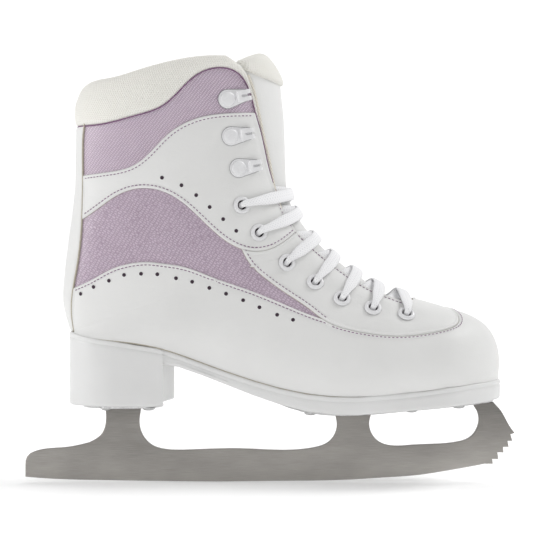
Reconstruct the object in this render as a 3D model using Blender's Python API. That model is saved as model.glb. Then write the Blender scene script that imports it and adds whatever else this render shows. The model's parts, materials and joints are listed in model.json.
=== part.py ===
"""A right figure skate: laced boot, moulded sole with its heel, and a stamped blade on two plates.

+X runs to the toe, +Z up and +Y to the inner (medial) side; the blade stands on Z = 0.
Sizes are in millimetres up to the point where a mesh is made.
"""

import math

import bmesh
import bpy
import numpy as np
from mathutils import Matrix, Vector
from mathutils.geometry import delaunay_2d_cdt

MM = 0.001
LATERAL = -1
MEDIAL = 1
SIDES = {"lateral": LATERAL, "medial": MEDIAL}

# --- Driving dimensions -------------------------------------------------------------------

BOOT_HEEL_X = -119.0
BOOT_TOE_X = 137.0
HEEL_BOTTOM_Z = 47.2
HEEL_BREAST_X = -60.5
PLATE_THICKNESS = 1.9
BLADE_THICKNESS = 3.9
GAP = 0.3

SKIN_THICKNESS = 1.5
INSERT_STEP = 0.5
PAD_OUTER, PAD_INNER = 2.5, 3.4
LINING_OUTER, LINING_INNER = 4.5, 5.7
COLLAR_BULGE = 0.8
SEAM_GAP = 0.2
SOLE_WELT = 1.2

EYELET_RADIUS = 5.0
EYELET_BORE = 2.7
EYELET_BARREL = 3.05
EYELET_HOLE = 4.1
LACE_WIDTH, LACE_THICKNESS = 5.6, 1.2
LACE_BUNCHED = (1.2, 0.8)
LACE_OVER, LACE_UNDER = -2.3, 3.2
LACE_POINTS, LACE_SIDES = 260, 6

HEEL_STATION = 10
LAST_STATION = 24
TONGUE_FOLD = 3.9
TONGUE_SIDE_DEPTH = 5.0
TONGUE_BACK_DEPTH = 8.6

# The boot from the side. Each row is one section line across the boot: where it starts on the
# back seam, or on the sole's edge from row 10 on, and where it ends on the front.
BACK_SEAM = (
    (-109.2, 241.0), (-114.6, 226.0), (-115.8, 208.0), (-116.1, 190.0), (-116.7, 173.2), (-118.8, 155.8),
    (-121.2, 137.8), (-122.9, 121.6), (-123.4, 109.0), (-121.6, 99.4), (BOOT_HEEL_X, 90.4),
)
SOLE_STATIONS = (
    BOOT_HEEL_X, -108.0, -90.0, -66.0, -39.0, -9.0, 21.0, 51.0, 78.0, 102.0, 120.0, 130.8, 135.0, 136.6, BOOT_TOE_X,
)
FRONT_LINE = (
    (6.6, 260.2), (6.6, 238.6), (8.4, 220.0), (9.3, 200.2), (10.0, 182.2), (11.6, 171.0), (15.0, 163.0),
    (19.2, 156.2), (23.2, 150.6), (26.6, 146.6), (29.6, 143.4), (32.6, 140.4), (36.4, 136.8), (41.8, 132.4),
    (49.4, 126.9), (59.4, 121.0), (71.4, 115.4), (84.6, 110.8), (97.8, 106.8), (111.6, 102.8), (123.4, 98.0),
    (131.2, 91.6), (135.6, 83.4), (137.3, 74.0), (BOOT_TOE_X, 61.9),
)
# Greatest half-width of each section, and how far the section's middle leans to the inner side.
HALF_WIDTH = (
    39.5, 38.0, 36.5, 35.5, 35.0, 34.5, 34.0, 33.2, 32.6, 32.2, 32.2, 32.6, 33.2, 34.2,
    36.4, 39.6, 42.6, 44.8, 45.4, 44.0, 42.0, 41.0, 40.5, 40.5, 40.5,
)
MIDDLE_Y = (0, 0, 0, 0, 0, 0, 0, 0, 0, 0, 0, 0, 0.3, 0.6, 0.8, 0.6, 0.2, -0.2, 0, 0.6, 1.4, 2.0, 2.4, 2.6, 2.6)
FULLNESS = (
    0.9, 0.9, 0.9, 0.9, 0.88, 0.84, 0.8, 0.76, 0.73, 0.71, 0.7, 0.72, 0.75, 0.78,
    0.8, 0.82, 0.84, 0.84, 0.84, 0.84, 0.84, 0.84, 0.84, 0.84, 0.84,
)
# The sole's edge: its height along X, the bottom of the sole, and half its width before the
# heel and toe are rounded off.
SOLE_TOP = (
    (-119, 90.4), (-107, 87.6), (-89, 85.5), (-64.5, 81.3), (-38, 72.2), (-9, 62.4), (20, 55.6),
    (49, 53.8), (75, 55.7), (98, 58.3), (117, 60.3), (137, 61.9),
)
SOLE_BOTTOM = (
    (-122, 74.5), (-75, 73.5), (-56, 70.9), (-41, 65.9), (-18, 56.9), (1.7, 49.9), (17, 45.7), (37, 43.3),
    (47, 43.2), (72, 45.0), (97, 47.2), (118, 49.0), (140, 50.8),
)
SOLE_HALF_WIDTH = ((-119, 29.5), (-80, 29.5), (-45, 27.5), (-10, 30), (25, 36), (55, 41), (85, 42), (110, 40), (137, 38))
HEEL_ROUND, TOE_ROUND, ROUND_POWER = 32.0, 50.0, 2.2

# Seams of the boot seen from the side, the same on both sides.
COLLAR_TOP = ((-116, 229), (-111.5, 236.5), (-106.5, 238.5), (-93, 240), (-80, 243), (-60, 248), (-38, 251.5), (-22, 252))
COLLAR_SEAM = (
    (-119, 212.5), (-99, 212.5), (-78, 217), (-63, 222), (-52, 231.5), (-41, 241), (-28, 244.5), (-19, 242),
    (-12.5, 233), (-9, 221), (-5.5, 209), (-1.5, 191), (1.5, 180), (5, 171),
)
THROAT_EDGE = (
    (-27, 253), (-18, 247.5), (-12.5, 241), (-9.5, 233), (-7, 223), (-4.5, 211), (-1.5, 198), (1.5, 184),
    (3.5, 174), (7, 163.5), (14, 152.5), (22.5, 143.5), (35, 132.5), (47, 123.5), (62.5, 114.5), (74, 110.2), (82, 108.6), (86, 110.6),
)
BACKSTAY_EDGE = ((-108, 222), (-110.5, 208), (-111, 188), (-111, 166), (-111.5, 150), (-113.5, 132), (-117, 112), (-117.5, 99), (-115, 84))
QUARTER_TOP = (
    (-119, 182.5), (-95, 184.5), (-80, 188), (-69.5, 196), (-59.5, 206), (-48.5, 213), (-33.5, 217.5), (-17.5, 219), (2, 220),
)
QUARTER_BOTTOM = (
    (-121, 151), (-100, 164), (-89, 171), (-77, 174.5), (-65, 173.5), (-54, 168.5), (-43, 159.5), (-33, 150),
    (-23, 142.5), (-12.5, 138.5), (0, 139.5), (10.5, 145.5), (20, 154),
)
EYESTAY_EDGE = (
    (-18, 143), (-12, 131.5), (-2, 122), (10, 113.5), (24, 104), (31, 98.5), (41, 94), (57, 90.5), (76, 89),
    (95, 91), (106, 93.7), (110.5, 96.7), (111.2, 99.5), (110, 102), (107.5, 104),
)
FOXING_TOP = (
    (-124, 113.5), (-114, 117.5), (-104, 122), (-92.5, 128), (-82, 131), (-72, 132), (-62, 131), (-52, 129.5),
    (-32, 122.5), (-12, 115.5), (8, 107.5), (27, 100), (38, 96.5),
)
INNER_EYESTAY_EDGE = (
    (-18, 143), (-12, 131.5), (-2, 122), (10, 113.5), (24, 104), (31, 98.5), (40, 94.5), (54, 92), (68, 91), (80, 91.6),
    (91, 94), (99, 97.3), (104.3, 101), (107.5, 104),
)

EYELETS = ((-16.5, 165), (-6.5, 149), (10, 131.5), (26.5, 120), (42, 110.5), (60, 105), (79.5, 101.5))
HOOKS = ((-25, 226.5), (-23, 205), (-18.5, 186.5))

BLADE_BOTTOM = (
    (-146.8, 2.8), (-132, 1.7), (-102, 0.8), (-72, 0.3), (-27, 0), (9, 0.3), (48, 1.1), (66, 2.2), (90, 4.0), (108, 6.8),
    (120, 8.9), (129.3, 10.7),
)
TOE_PICKS = (
    (133.7, 10.7), (133.3, 13.6), (137, 13.6), (136.4, 17.6), (140.1, 17.5), (139.8, 20.8), (143.2, 20.9),
    (142.5, 24.4), (145.4, 24.5), (144.2, 28.4), (146.8, 29.2),
)
TAIL = ((-108.6, 23.5), (-122, 20.7), (-142.2, 17.8), (-145.6, 15.6), (-146.8, 10))
HEEL_STANCHION_BACK = ((-98.6, 43.5), (-98.4, 37.7), (-99.8, 31), (-103, 26.8), (-108.6, 23.5))
REAR_WINDOW = (
    (-77.4, 43.5), (-78.4, 36.7), (-76.6, 28.4), (-70.8, 22), (-62.1, 19.4), (-49.8, 19.1), (-18.6, 19.9),
    (27.6, 20.8), (34.2, 23.2), (38.6, 28), (40.1, 35.3), (39, 40.4),
)
FRONT_WINDOW = (
    (60.8, 40.8), (59.5, 35.2), (60.9, 29.2), (65.4, 24), (72.9, 21.6), (85.2, 22), (112.2, 23.9),
    (119.8, 26.6), (124.4, 32.6), (125.3, 38), (123.6, 43.6), (121.8, 45.8),
)
TOE_FRONT = ((146.8, 29.2), (143.2, 34.3), (138.2, 43.1), (134.4, 47.2))

MATERIALS = {
    "white_leather": ((0.86, 0.86, 0.85), 0.42, 0.0),
    "lavender_fabric": ((0.55, 0.42, 0.54), 0.7, 0.0),
    "cream_mesh": ((0.88, 0.87, 0.82), 0.85, 0.0),
    "sole_white": ((0.84, 0.84, 0.83), 0.45, 0.0),
    "blade_steel": ((0.45, 0.45, 0.43), 0.3, 1.0),
    "fastener_steel": ((0.7, 0.7, 0.7), 0.25, 1.0),
    "enamel_white": ((0.85, 0.85, 0.86), 0.3, 0.0),
    "lace_cotton": ((0.9, 0.9, 0.9), 0.8, 0.0),
    "board": ((0.45, 0.36, 0.26), 0.8, 0.0),
    "footbed_foam": ((0.75, 0.75, 0.78), 0.9, 0.0),
}


# --- Curves -------------------------------------------------------------------------------


def spline(knots, values):
    """The natural cubic spline through values at knots, as a function that takes an array."""
    knots = np.asarray(knots, float)
    values = np.asarray(values, float).reshape(len(knots), -1)
    count = len(knots)
    step = np.diff(knots)
    slope = np.diff(values, axis=0) / step[:, None]
    matrix = np.eye(count)
    right = np.zeros_like(values)
    for i in range(1, count - 1):
        matrix[i, i - 1 : i + 2] = step[i - 1], 2 * (step[i - 1] + step[i]), step[i]
        right[i] = 6 * (slope[i] - slope[i - 1])
    bend = np.linalg.solve(matrix, right)

    def at(u):
        u = np.clip(np.asarray(u, float), knots[0], knots[-1])
        i = np.clip(np.searchsorted(knots, u, side="right") - 1, 0, count - 2)
        after = ((u - knots[i]) / step[i])[..., None]
        before = 1 - after
        square = (step[i] ** 2)[..., None] / 6
        curve = (before**3 - before) * bend[i] + (after**3 - after) * bend[i + 1]
        found = before * values[i] + after * values[i + 1] + square * curve
        return found if values.shape[1] > 1 else found[..., 0]

    return at


def height_along_x(points):
    return spline([x for x, _ in points], [z for _, z in points])


def smooth_line(points, spacing=4.0):
    """A smooth line through points, as points about spacing apart."""
    points = np.asarray(points, float)
    along = np.concatenate([[0], np.cumsum(np.hypot(*np.diff(points, axis=0).T))])
    count = max(2, int(along[-1] / spacing) + 1)
    return spline(along, points)(np.linspace(0, along[-1], count))


def shifted(line, distance):
    """The line moved to its left by distance, in its own plane."""
    along = np.gradient(line, axis=0)
    along /= np.linalg.norm(along, axis=1)[:, None]
    return line + distance * np.stack([-along[:, 1], along[:, 0]], axis=1)


def crossing(first, second):
    """Where two lines first cross: a segment and a fraction of it on each."""
    for i in range(len(first) - 1):
        a, along = first[i], first[i + 1] - first[i]
        for j in range(len(second) - 1):
            b, across = second[j], second[j + 1] - second[j]
            size = along[0] * across[1] - along[1] * across[0]
            if abs(size) < 1e-12:
                continue
            f = ((b - a)[0] * across[1] - (b - a)[1] * across[0]) / size
            g = ((b - a)[0] * along[1] - (b - a)[1] * along[0]) / size
            if 0 <= f <= 1 and 0 <= g <= 1:
                return i + f, j + g
    raise ValueError("two seams that bound a panel don't cross")


def stretch(line, start, end):
    """The run of a line between two places on it, each given as segment + fraction."""
    low, high = min(start, end), max(start, end)
    inner = [line[i] for i in range(len(line)) if low + 0.15 < i < high - 0.15]
    ends = []
    for place in (low, high):
        i = min(int(place), len(line) - 2)
        ends.append(line[i] + (place - i) * (line[i + 1] - line[i]))
    run = np.array([ends[0], *inner, ends[1]])
    return run if start <= end else run[::-1]


def ring(*lines):
    """Lines that each cross the next, and the last the first, trimmed to one closed outline."""
    count = len(lines)
    starts, stops = [0.0] * count, [0.0] * count
    for i in range(count):
        stops[i], starts[(i + 1) % count] = crossing(lines[i], lines[(i + 1) % count])
    runs = [stretch(*one) for one in zip(lines, starts, stops)]
    return np.concatenate([run[:-1] for run in runs])


# --- The boot's surface -------------------------------------------------------------------

STATIONS = np.arange(LAST_STATION + 1)
# Where the solids' corners lie: closer together round the heel, the shank and the toe.
ROWS = np.array([
    0.7, 1.4, *range(2, 10), 9.6, 10.08, 10.25, 10.5, 11, 11.5, 12, 13, 13.5, 14, 14.5, 15, 15.5, 16, 16.5, 17,
    18, 19, 20, 21, 22, 22.6, 23.1, 23.5, 23.8,
])
COLUMNS = np.arange(-0.96, 1, 0.08)
# A whole section is about as long as this many steps from one section to the next.
SECTION_SPAN = 10.0
back_seam = spline(STATIONS[: HEEL_STATION + 1], BACK_SEAM)
sole_station = spline(STATIONS[HEEL_STATION:], SOLE_STATIONS)
front_line = spline(STATIONS, FRONT_LINE)
half_width = spline(STATIONS, HALF_WIDTH)
middle_y = spline(STATIONS, MIDDLE_Y)
fullness = spline(STATIONS, FULLNESS)
sole_top = height_along_x(SOLE_TOP)
sole_bottom = height_along_x(SOLE_BOTTOM)
sole_half_width = height_along_x(SOLE_HALF_WIDTH)


def rounding(distance, length):
    """How far a plan outline has opened, from 0 at its end to 1 at length from it."""
    rest = 1 - np.clip(distance / length, 0, 1)
    return (1 - rest**ROUND_POWER) ** (1 / ROUND_POWER)


def section(t, depth):
    """A section line, depth inside the outer surface: its ends seen from the side, its greatest
    half-width, the fullness of its curve and the angle that the curve starts at."""
    t, depth = np.broadcast_arrays(np.asarray(t, float), np.asarray(depth, float))
    on_sole = t > HEEL_STATION
    seam = back_seam(np.minimum(t, HEEL_STATION))
    share = np.minimum(t, HEEL_STATION) / HEEL_STATION
    drop = (sole_top(BOOT_HEEL_X + depth) - sole_top(BOOT_HEEL_X)) * share**4
    x = sole_station(np.maximum(t, HEEL_STATION))
    x_in = BOOT_HEEL_X + depth + (x - BOOT_HEEL_X) * (1 - 2 * depth / (BOOT_TOE_X - BOOT_HEEL_X))
    back = np.stack([
        np.where(on_sole, x_in, seam[..., 0] + depth), np.where(on_sole, sole_top(x_in), seam[..., 1] + drop)
    ], axis=-1)
    run = front_line(t + 0.05) - front_line(t - 0.05)
    run /= np.linalg.norm(run, axis=-1)[..., None]
    front = front_line(t) + depth[..., None] * np.stack([run[..., 1], -run[..., 0]], axis=-1)
    toe = np.where(on_sole, rounding(BOOT_TOE_X - x, TOE_ROUND), 1)
    heel = rounding(x - BOOT_HEEL_X, HEEL_ROUND)
    wide = (half_width(t) - depth) * toe
    edge = np.minimum((sole_half_width(x) - depth) * toe * heel, 0.97 * wide)
    full = fullness(t)
    start = np.arcsin(np.clip((edge / np.maximum(wide, 1e-9)) ** (1 / full), 0, 1)) * on_sole
    return back, front, wide, full, start


def boot_point(t, s, side, depth):
    """A point of the boot, depth inside its outer surface.

    t is the section, from the collar (0) round the heel to the toe (24); s runs along the
    section, from the back seam or the sole's edge (0) to the front or the top (1).
    """
    t, s, side, depth = np.broadcast_arrays(*(np.asarray(one, float) for one in (t, s, side, depth)))
    back, front, wide, full, start = section(t, depth)
    angle = start + s * (math.pi - start)
    up = ((np.cos(start) - np.cos(angle)) / (1 + np.cos(start)))[..., None]
    seen = back + up * (front - back)
    out = side * wide * np.clip(np.sin(angle), 0, 1) ** full
    return np.stack([seen[..., 0], out + middle_y(t), seen[..., 1]], axis=-1)


def on_side(points):
    """(t, s) of places given as seen from the side, found along the sections."""
    grid = np.linspace(0, LAST_STATION, 1201)
    back, front, _, _, start = section(grid, 0.0)
    along = front - back
    span = np.maximum((along**2).sum(axis=1), 1e-9)
    places = []
    for point in np.asarray(points, float):
        off = point - back
        turn = along[:, 0] * off[:, 1] - along[:, 1] * off[:, 0]
        share = (along * off).sum(axis=1) / span
        change = np.where((turn[:-1] > 0) != (turn[1:] > 0))[0]
        i = change[int(np.argmin(np.abs(share[change] - 0.5)))]
        f = turn[i] / (turn[i] - turn[i + 1])
        up = float(np.clip(share[i] + f * (share[i + 1] - share[i]), 0, 1))
        begin = start[i] + f * (start[i + 1] - start[i])
        angle = math.acos(math.cos(begin) - up * (1 + math.cos(begin)))
        places.append((grid[i] + f * (grid[i + 1] - grid[i]), (angle - begin) / (math.pi - begin)))
    return np.array(places)


# Three ways to lay the surface flat as (t, v): one side only, or both sides joined along the
# front line or along the back seam, with v negative on the lateral side.


def lay_side(side):
    def place(t, v, depth):
        return boot_point(t, v, side, depth)

    return place


def lay_front(t, v, depth):
    v = np.asarray(v, float)
    return boot_point(t, 1 - np.abs(v), np.where(v < 0, LATERAL, MEDIAL), depth)


def lay_back(t, v, depth):
    v = np.asarray(v, float)
    return boot_point(t, np.abs(v), np.where(v < 0, LATERAL, MEDIAL), depth)


# --- Meshes -------------------------------------------------------------------------------


def material(name):
    found = bpy.data.materials.get(name)
    if found is None:
        colour, roughness, metallic = MATERIALS[name]
        found = bpy.data.materials.new(name)
        found.use_nodes = True
        shader = found.node_tree.nodes["Principled BSDF"]
        shader.inputs["Base Color"].default_value = (*colour, 1)
        shader.inputs["Roughness"].default_value = roughness
        shader.inputs["Metallic"].default_value = metallic
    return found


def add_object(name, points, faces, finish, origin=(0, 0, 0)):
    """A node from points in millimetres, with its own origin."""
    origin = np.asarray(origin, float)
    mesh = bpy.data.meshes.new(name)
    mesh.from_pydata(((np.asarray(points, float) - origin) * MM).tolist(), [], [list(face) for face in faces])
    mesh.materials.append(material(finish))
    obj = bpy.data.objects.new(name, mesh)
    obj.location = origin * MM
    bpy.context.scene.collection.objects.link(obj)
    work = bmesh.new()
    work.from_mesh(mesh)
    bmesh.ops.remove_doubles(work, verts=work.verts, dist=1e-7)
    bmesh.ops.dissolve_degenerate(work, dist=1e-7, edges=work.edges)
    bmesh.ops.triangulate(work, faces=work.faces)
    bmesh.ops.recalc_face_normals(work, faces=work.faces)
    if work.calc_volume(signed=True) < 0:
        bmesh.ops.reverse_faces(work, faces=work.faces)
    work.to_mesh(mesh)
    work.free()
    mesh.shade_smooth()
    mesh.set_sharp_from_angle(angle=math.radians(40))
    return obj


def walled(outer, inner, faces):
    """Points and faces of the closed solid between two copies of one open surface."""
    keys = np.round(np.concatenate([outer, inner], axis=1), 4)
    _, first, index = np.unique(keys, axis=0, return_index=True, return_inverse=True)
    index = index.reshape(-1)
    outer, inner = outer[first], inner[first]
    kept = []
    for face in faces:
        corners = [int(index[i]) for i in face]
        corners = [c for i, c in enumerate(corners) if c != corners[i - 1]]
        if len(set(corners)) == len(corners) > 2:
            kept.append(tuple(corners))
    count = len(outer)
    edges = {(a, b) for face in kept for a, b in zip(face, face[1:] + face[:1])}
    closed = kept + [tuple(i + count for i in reversed(face)) for face in kept]
    closed += [(b, a, a + count, b + count) for a, b in edges if (b, a) not in edges]
    return np.concatenate([outer, inner]), closed


def inside(point, outline):
    """Whether a point is inside a closed outline."""
    x, y = point
    a, b = outline, np.roll(outline, -1, axis=0)
    spans = (a[:, 1] > y) != (b[:, 1] > y)
    rise = np.where(spans, b[:, 1] - a[:, 1], 1)
    return bool((spans & (x < a[:, 0] + (b[:, 0] - a[:, 0]) * (y - a[:, 1]) / rise)).sum() % 2)


def flat_mesh(outline, holes, rows, columns):
    """A flat outline with holes as triangles whose inner corners lie on rows and columns."""
    loops = [outline, *holes]
    points = [tuple(point) for loop in loops for point in loop]
    edges = []
    start = 0
    for loop in loops:
        edges += [(start + i, start + (i + 1) % len(loop)) for i in range(len(loop))]
        start += len(loop)
    rims = np.array(points)
    near = 0.35 * np.diff(columns).min()
    for row in rows:
        for column in columns:
            spot = (row, column)
            if not inside(spot, outline) or any(inside(spot, hole) for hole in holes):
                continue
            if np.hypot(*(rims - spot).T).min() > near:
                points.append(spot)
    flat = [Vector(point) for point in points]
    found, _, triangles, *_ = delaunay_2d_cdt(flat, edges, [], 0, 1e-6)
    found = np.array([tuple(point) for point in found])
    kept = []
    for triangle in triangles:
        middle = found[list(triangle)].mean(axis=0)
        if inside(middle, outline) and not any(inside(middle, hole) for hole in holes):
            kept.append(tuple(triangle))
    return found, kept


def skin_panel(name, finish, lay, outline, outer, inner, holes=(), rows=None, columns=None):
    """A panel of the boot: an outline in (t, v) between two depths, numbers or functions of v."""
    rows = ROWS if rows is None else rows
    columns = COLUMNS if columns is None else columns
    even = np.array([1.0, SECTION_SPAN])
    flat, faces = flat_mesh(np.asarray(outline) * even, [hole * even for hole in holes], rows, columns * SECTION_SPAN)
    t, v = (flat / even).T
    depths = [depth(t, v) if callable(depth) else depth for depth in (outer, inner)]
    return add_object(name, *walled(lay(t, v, depths[0]), lay(t, v, depths[1]), faces), finish)


def shrunk(outline, distance):
    """A closed outline moved inwards."""
    before = outline - np.roll(outline, 1, axis=0)
    after = np.roll(outline, -1, axis=0) - outline
    area = (outline[:, 0] * np.roll(outline[:, 1], -1) - outline[:, 1] * np.roll(outline[:, 0], -1)).sum()
    normals = []
    for edge in (before, after):
        edge = edge / np.linalg.norm(edge, axis=1)[:, None]
        normals.append(np.sign(area) * np.stack([-edge[:, 1], edge[:, 0]], axis=1))
    middle = normals[0] + normals[1]
    return outline + distance * 2 * middle / np.maximum((middle**2).sum(axis=1), 0.5)[:, None]


# --- Skin of the boot ---------------------------------------------------------------------


def seam_line(points, spacing=5.0):
    return smooth_line(points, spacing)


def facing_edge():
    """The front edge of the quarter: the collar's seam, then the open throat."""
    return seam_line((*COLLAR_SEAM[:-1], *THROAT_EDGE[8:]))


def eyelet_holes(centres):
    """For each eyelet, its hole as (t, s)."""
    holes = []
    for x, z in centres:
        turn = np.linspace(0, 2 * math.pi, 10, endpoint=False)
        centre, along, across, _ = skin_frame(*on_side([(x, z)])[0], MEDIAL)
        rim = centre + EYELET_HOLE * (np.cos(turn)[:, None] * along + np.sin(turn)[:, None] * across)
        holes.append(on_side(rim[:, [0, 2]]))
    return holes


def skin_frame(t, s, side, depth=0.0):
    """A point of the skin, the directions along the sections' order, up the section, and out."""
    step = 0.01
    along = boot_point(t + step, s, side, depth) - boot_point(t - step, s, side, depth)
    up = boot_point(t, s + step, side, depth) - boot_point(t, s - step, side, depth)
    out = np.cross(along, up)
    out /= np.linalg.norm(out)
    outward = boot_point(t, s, side, depth) - boot_point(t, s, side, depth + 1)
    out *= np.sign(out @ outward)
    along /= np.linalg.norm(along)
    return boot_point(t, s, side, depth), along, np.cross(out, along), out


def make_side_panels():
    top, bottom = seam_line(QUARTER_TOP), seam_line(QUARTER_BOTTOM)
    back, facing = seam_line(BACKSTAY_EDGE), facing_edge()
    collar, foxing, eyestay = seam_line(COLLAR_SEAM), seam_line(FOXING_TOP), seam_line(EYESTAY_EDGE)
    outlines = (
        ("cuff_insert", "lavender_fabric", ring(collar, top, back), (), INSERT_STEP),
        ("quarter", "white_leather", ring(top, facing, bottom, back), EYELETS[:2], 0.0),
        ("side_insert", "lavender_fabric", ring(bottom, eyestay, foxing, back), (), INSERT_STEP),
    )
    for word, side in SIDES.items():
        for name, finish, outline, centres, outer in outlines:
            flat = on_side(shrunk(outline, SEAM_GAP))
            holes = eyelet_holes(centres)
            skin_panel(f"{name}_{word}", finish, lay_side(side), flat, outer, SKIN_THICKNESS, holes)


def both_sides(lateral, medial, joint):
    """One outline from its lateral and its medial run; joint is s where the two meet."""
    halves = []
    for run, sign in ((lateral, LATERAL), (medial, MEDIAL)):
        reach = np.abs(run[:, 1] - joint)
        halves.append(np.stack([run[:, 0], sign * reach], axis=1))
    outline = np.concatenate([halves[0], halves[1][::-1]])
    apart = np.linalg.norm(outline - np.roll(outline, 1, axis=0), axis=1)
    return outline[apart > 1e-6]


def chain(*lines):
    """Lines that each cross the next, trimmed there to one open run."""
    starts = [0.0] * len(lines)
    stops = [len(line) - 1.0 for line in lines]
    for i in range(len(lines) - 1):
        stops[i], starts[i + 1] = crossing(lines[i], lines[i + 1])
    runs = [stretch(*one) for one in zip(lines, starts, stops)]
    return np.concatenate([runs[0], *[run[1:] for run in runs[1:]]])


def moved_in(run, distance):
    """An open run moved to its right."""
    return shifted(run, -distance)


def make_collar():
    run = chain(seam_line(COLLAR_TOP), seam_line(THROAT_EDGE), seam_line(COLLAR_SEAM)[::-1])
    run = on_side(moved_in(run, SEAM_GAP))
    run[0, 1] = run[-1, 1] = 0
    skin_panel(
        "collar", "cream_mesh", lay_back, both_sides(run, run, 0), -COLLAR_BULGE,
        lambda t, v: np.interp(np.abs(v), (0.68, 0.78), (PAD_INNER, SKIN_THICKNESS)),
    )


def make_backstay():
    run = chain(seam_line(COLLAR_SEAM), seam_line(BACKSTAY_EDGE))
    run = on_side(moved_in(run, SEAM_GAP))
    end = HEEL_STATION - 0.15
    run = run[run[:, 0] < end - 0.05]
    run = np.array([(run[0, 0], 0), *run[1:], (end, run[-1, 1]), (end, 0)])
    skin_panel("backstay", "white_leather", lay_back, both_sides(run, run, 0), -0.4, SKIN_THICKNESS)


def make_vamp():
    """The eyestay overlay round the throat, and the lower vamp that wraps the toe."""
    throat, bottom = seam_line(THROAT_EDGE)[::-1], seam_line(QUARTER_BOTTOM)[::-1]
    back, foxing = seam_line(BACKSTAY_EDGE)[::-1], seam_line(FOXING_TOP)
    overlay, lower = [], []
    for edge in (EYESTAY_EDGE, INNER_EYESTAY_EDGE):
        edge = seam_line(edge)
        run = on_side(moved_in(chain(throat, bottom, edge), -SEAM_GAP))
        run[0, 1] = run[-1, 1] = 1
        overlay.append(run)
        run = on_side(moved_in(chain(back, foxing, edge), SEAM_GAP))
        run[-1, 1] = 1
        lower.append(run)
    holes = []
    for hole in eyelet_holes(EYELETS[2:]):
        holes += [np.stack([hole[:, 0], sign * (1 - hole[:, 1])], axis=1) for sign in (LATERAL, MEDIAL)]
    skin_panel(
        "eyestay_overlay", "white_leather", lay_front, both_sides(*overlay, 1), 0.0, SKIN_THICKNESS, holes
    )
    feather = ROWS[ROWS > HEEL_STATION]
    halves = []
    for run in lower:
        above = int(np.argmax(run[:, 1] > 0.004))
        run = run[above:]
        start = (HEEL_STATION + 0.22, 0.0)
        toe = [(t, 0.0) for t in feather[::-1] if t > start[0] + 0.04]
        halves.append(np.array([(LAST_STATION, 0.0), *toe, start, *run]))
    outline = both_sides(halves[0][1:], halves[1][1:], 1)
    pole = [(LAST_STATION, v) for v in (1.0, 0.5, 0.0, -0.5, -1.0)]
    outline = np.concatenate([outline, pole])
    skin_panel("lower_vamp", "white_leather", lay_front, outline, 0.0, SKIN_THICKNESS)


# --- Inside the boot ----------------------------------------------------------------------


def grid_layer(name, finish, rows, low, high, outer, inner, columns=9, warp=None):
    """A layer on both sides at once, from s = low(t) to high(t), joined where the sides meet."""
    share = np.linspace(0, 1, columns)
    points, faces = [[], []], []
    for side in (LATERAL, MEDIAL):
        start = len(points[0])
        for row in rows:
            s = low(row) + share * (high(row) - low(row))
            t = np.full(columns, float(row)) if warp is None else warp(row, s)
            for store, depth in zip(points, (outer, inner)):
                store.extend(boot_point(t, s, side, depth))
        for i in range(len(rows) - 1):
            for j in range(columns - 1):
                a = start + i * columns + j
                face = (a, a + 1, a + columns + 1, a + columns)
                faces.append(face if side == MEDIAL else face[::-1])
    return add_object(name, *walled(np.array(points[0]), np.array(points[1]), faces), finish)


def throat_reach(back_off):
    """s of the throat's edge, moved back from the opening, as a function of t."""
    line = on_side(shifted(seam_line(THROAT_EDGE), -back_off)[2:-3])
    order = np.argsort(line[:, 0])
    t, s = line[order].T
    return lambda row: float(np.interp(row, [*t, t[-1] + 1.2], [*s, 1.0]))


def make_inner_layers():
    top = on_side(seam_line(COLLAR_TOP))
    order = np.argsort(top[:, 1])
    start = 1.6

    def under_collar(row, s):
        rim = np.interp(s, top[order, 1], top[order, 0]) + 0.15
        return rim + (row / start) * (start - rim) if row < start else np.full(len(s), float(row))

    rows = sorted({0, *ROWS, HEEL_STATION, LAST_STATION})
    reach = throat_reach(16.0)
    grid_layer(
        "lining", "cream_mesh", rows, lambda t: 0.0, reach, LINING_OUTER, LINING_INNER, 8, under_collar
    )
    grid_layer(
        "heel_counter", "board", [row for row in rows if 6 <= row <= 14], lambda t: 0.0, lambda t: 0.42,
        PAD_OUTER, PAD_INNER, 6,
    )
    toe_rows = [row for row in rows if row >= 20]
    grid_layer("toe_puff", "board", toe_rows, lambda t: 0.0, lambda t: 1.0, PAD_OUTER, PAD_INNER, 9)
    for word, side in SIDES.items():
        heights, reach_s = np.linspace(2.4, 5.7, 5), np.linspace(0.14, 0.66, 8)
        outline = [(heights[0], s) for s in reach_s] + [(t, reach_s[-1]) for t in heights[1:]]
        outline += [(heights[-1], s) for s in reach_s[-2::-1]] + [(t, reach_s[0]) for t in heights[-2:0:-1]]
        skin_panel(f"ankle_pad_{word}", "footbed_foam", lay_side(side), outline, PAD_OUTER, PAD_INNER)


def foot_outline(depth, start=HEEL_STATION, stop=LAST_STATION):
    """The sole's edge from above, depth inside the boot, as one closed outline in X and Y."""
    steps = [HEEL_STATION, *ROWS[ROWS > HEEL_STATION], LAST_STATION]
    steps = np.array([start, *[t for t in steps if start < t < stop], stop])
    lateral = boot_point(steps, 0.0, LATERAL, depth)[:, :2]
    medial = boot_point(steps, 0.0, MEDIAL, depth)[:, :2]
    outline = np.concatenate([lateral, medial[::-1]])
    apart = np.linalg.norm(outline - np.roll(outline, 1, axis=0), axis=1)
    return outline[apart > 0.05]


def flat_piece(name, finish, outline, top, bottom, holes=(), rows=None):
    """A plate with this outline from above, between two heights that follow X."""
    rows = np.arange(-110, 135, 12.0) if rows is None else rows
    flat, faces = flat_mesh(np.asarray(outline), holes, rows, np.array([-14.0, 0.0, 14.0]))
    x, y = flat.T
    solid = walled(np.stack([x, y, top(x)], axis=1), np.stack([x, y, bottom(x)], axis=1), faces)
    return add_object(name, *solid, finish)


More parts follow.
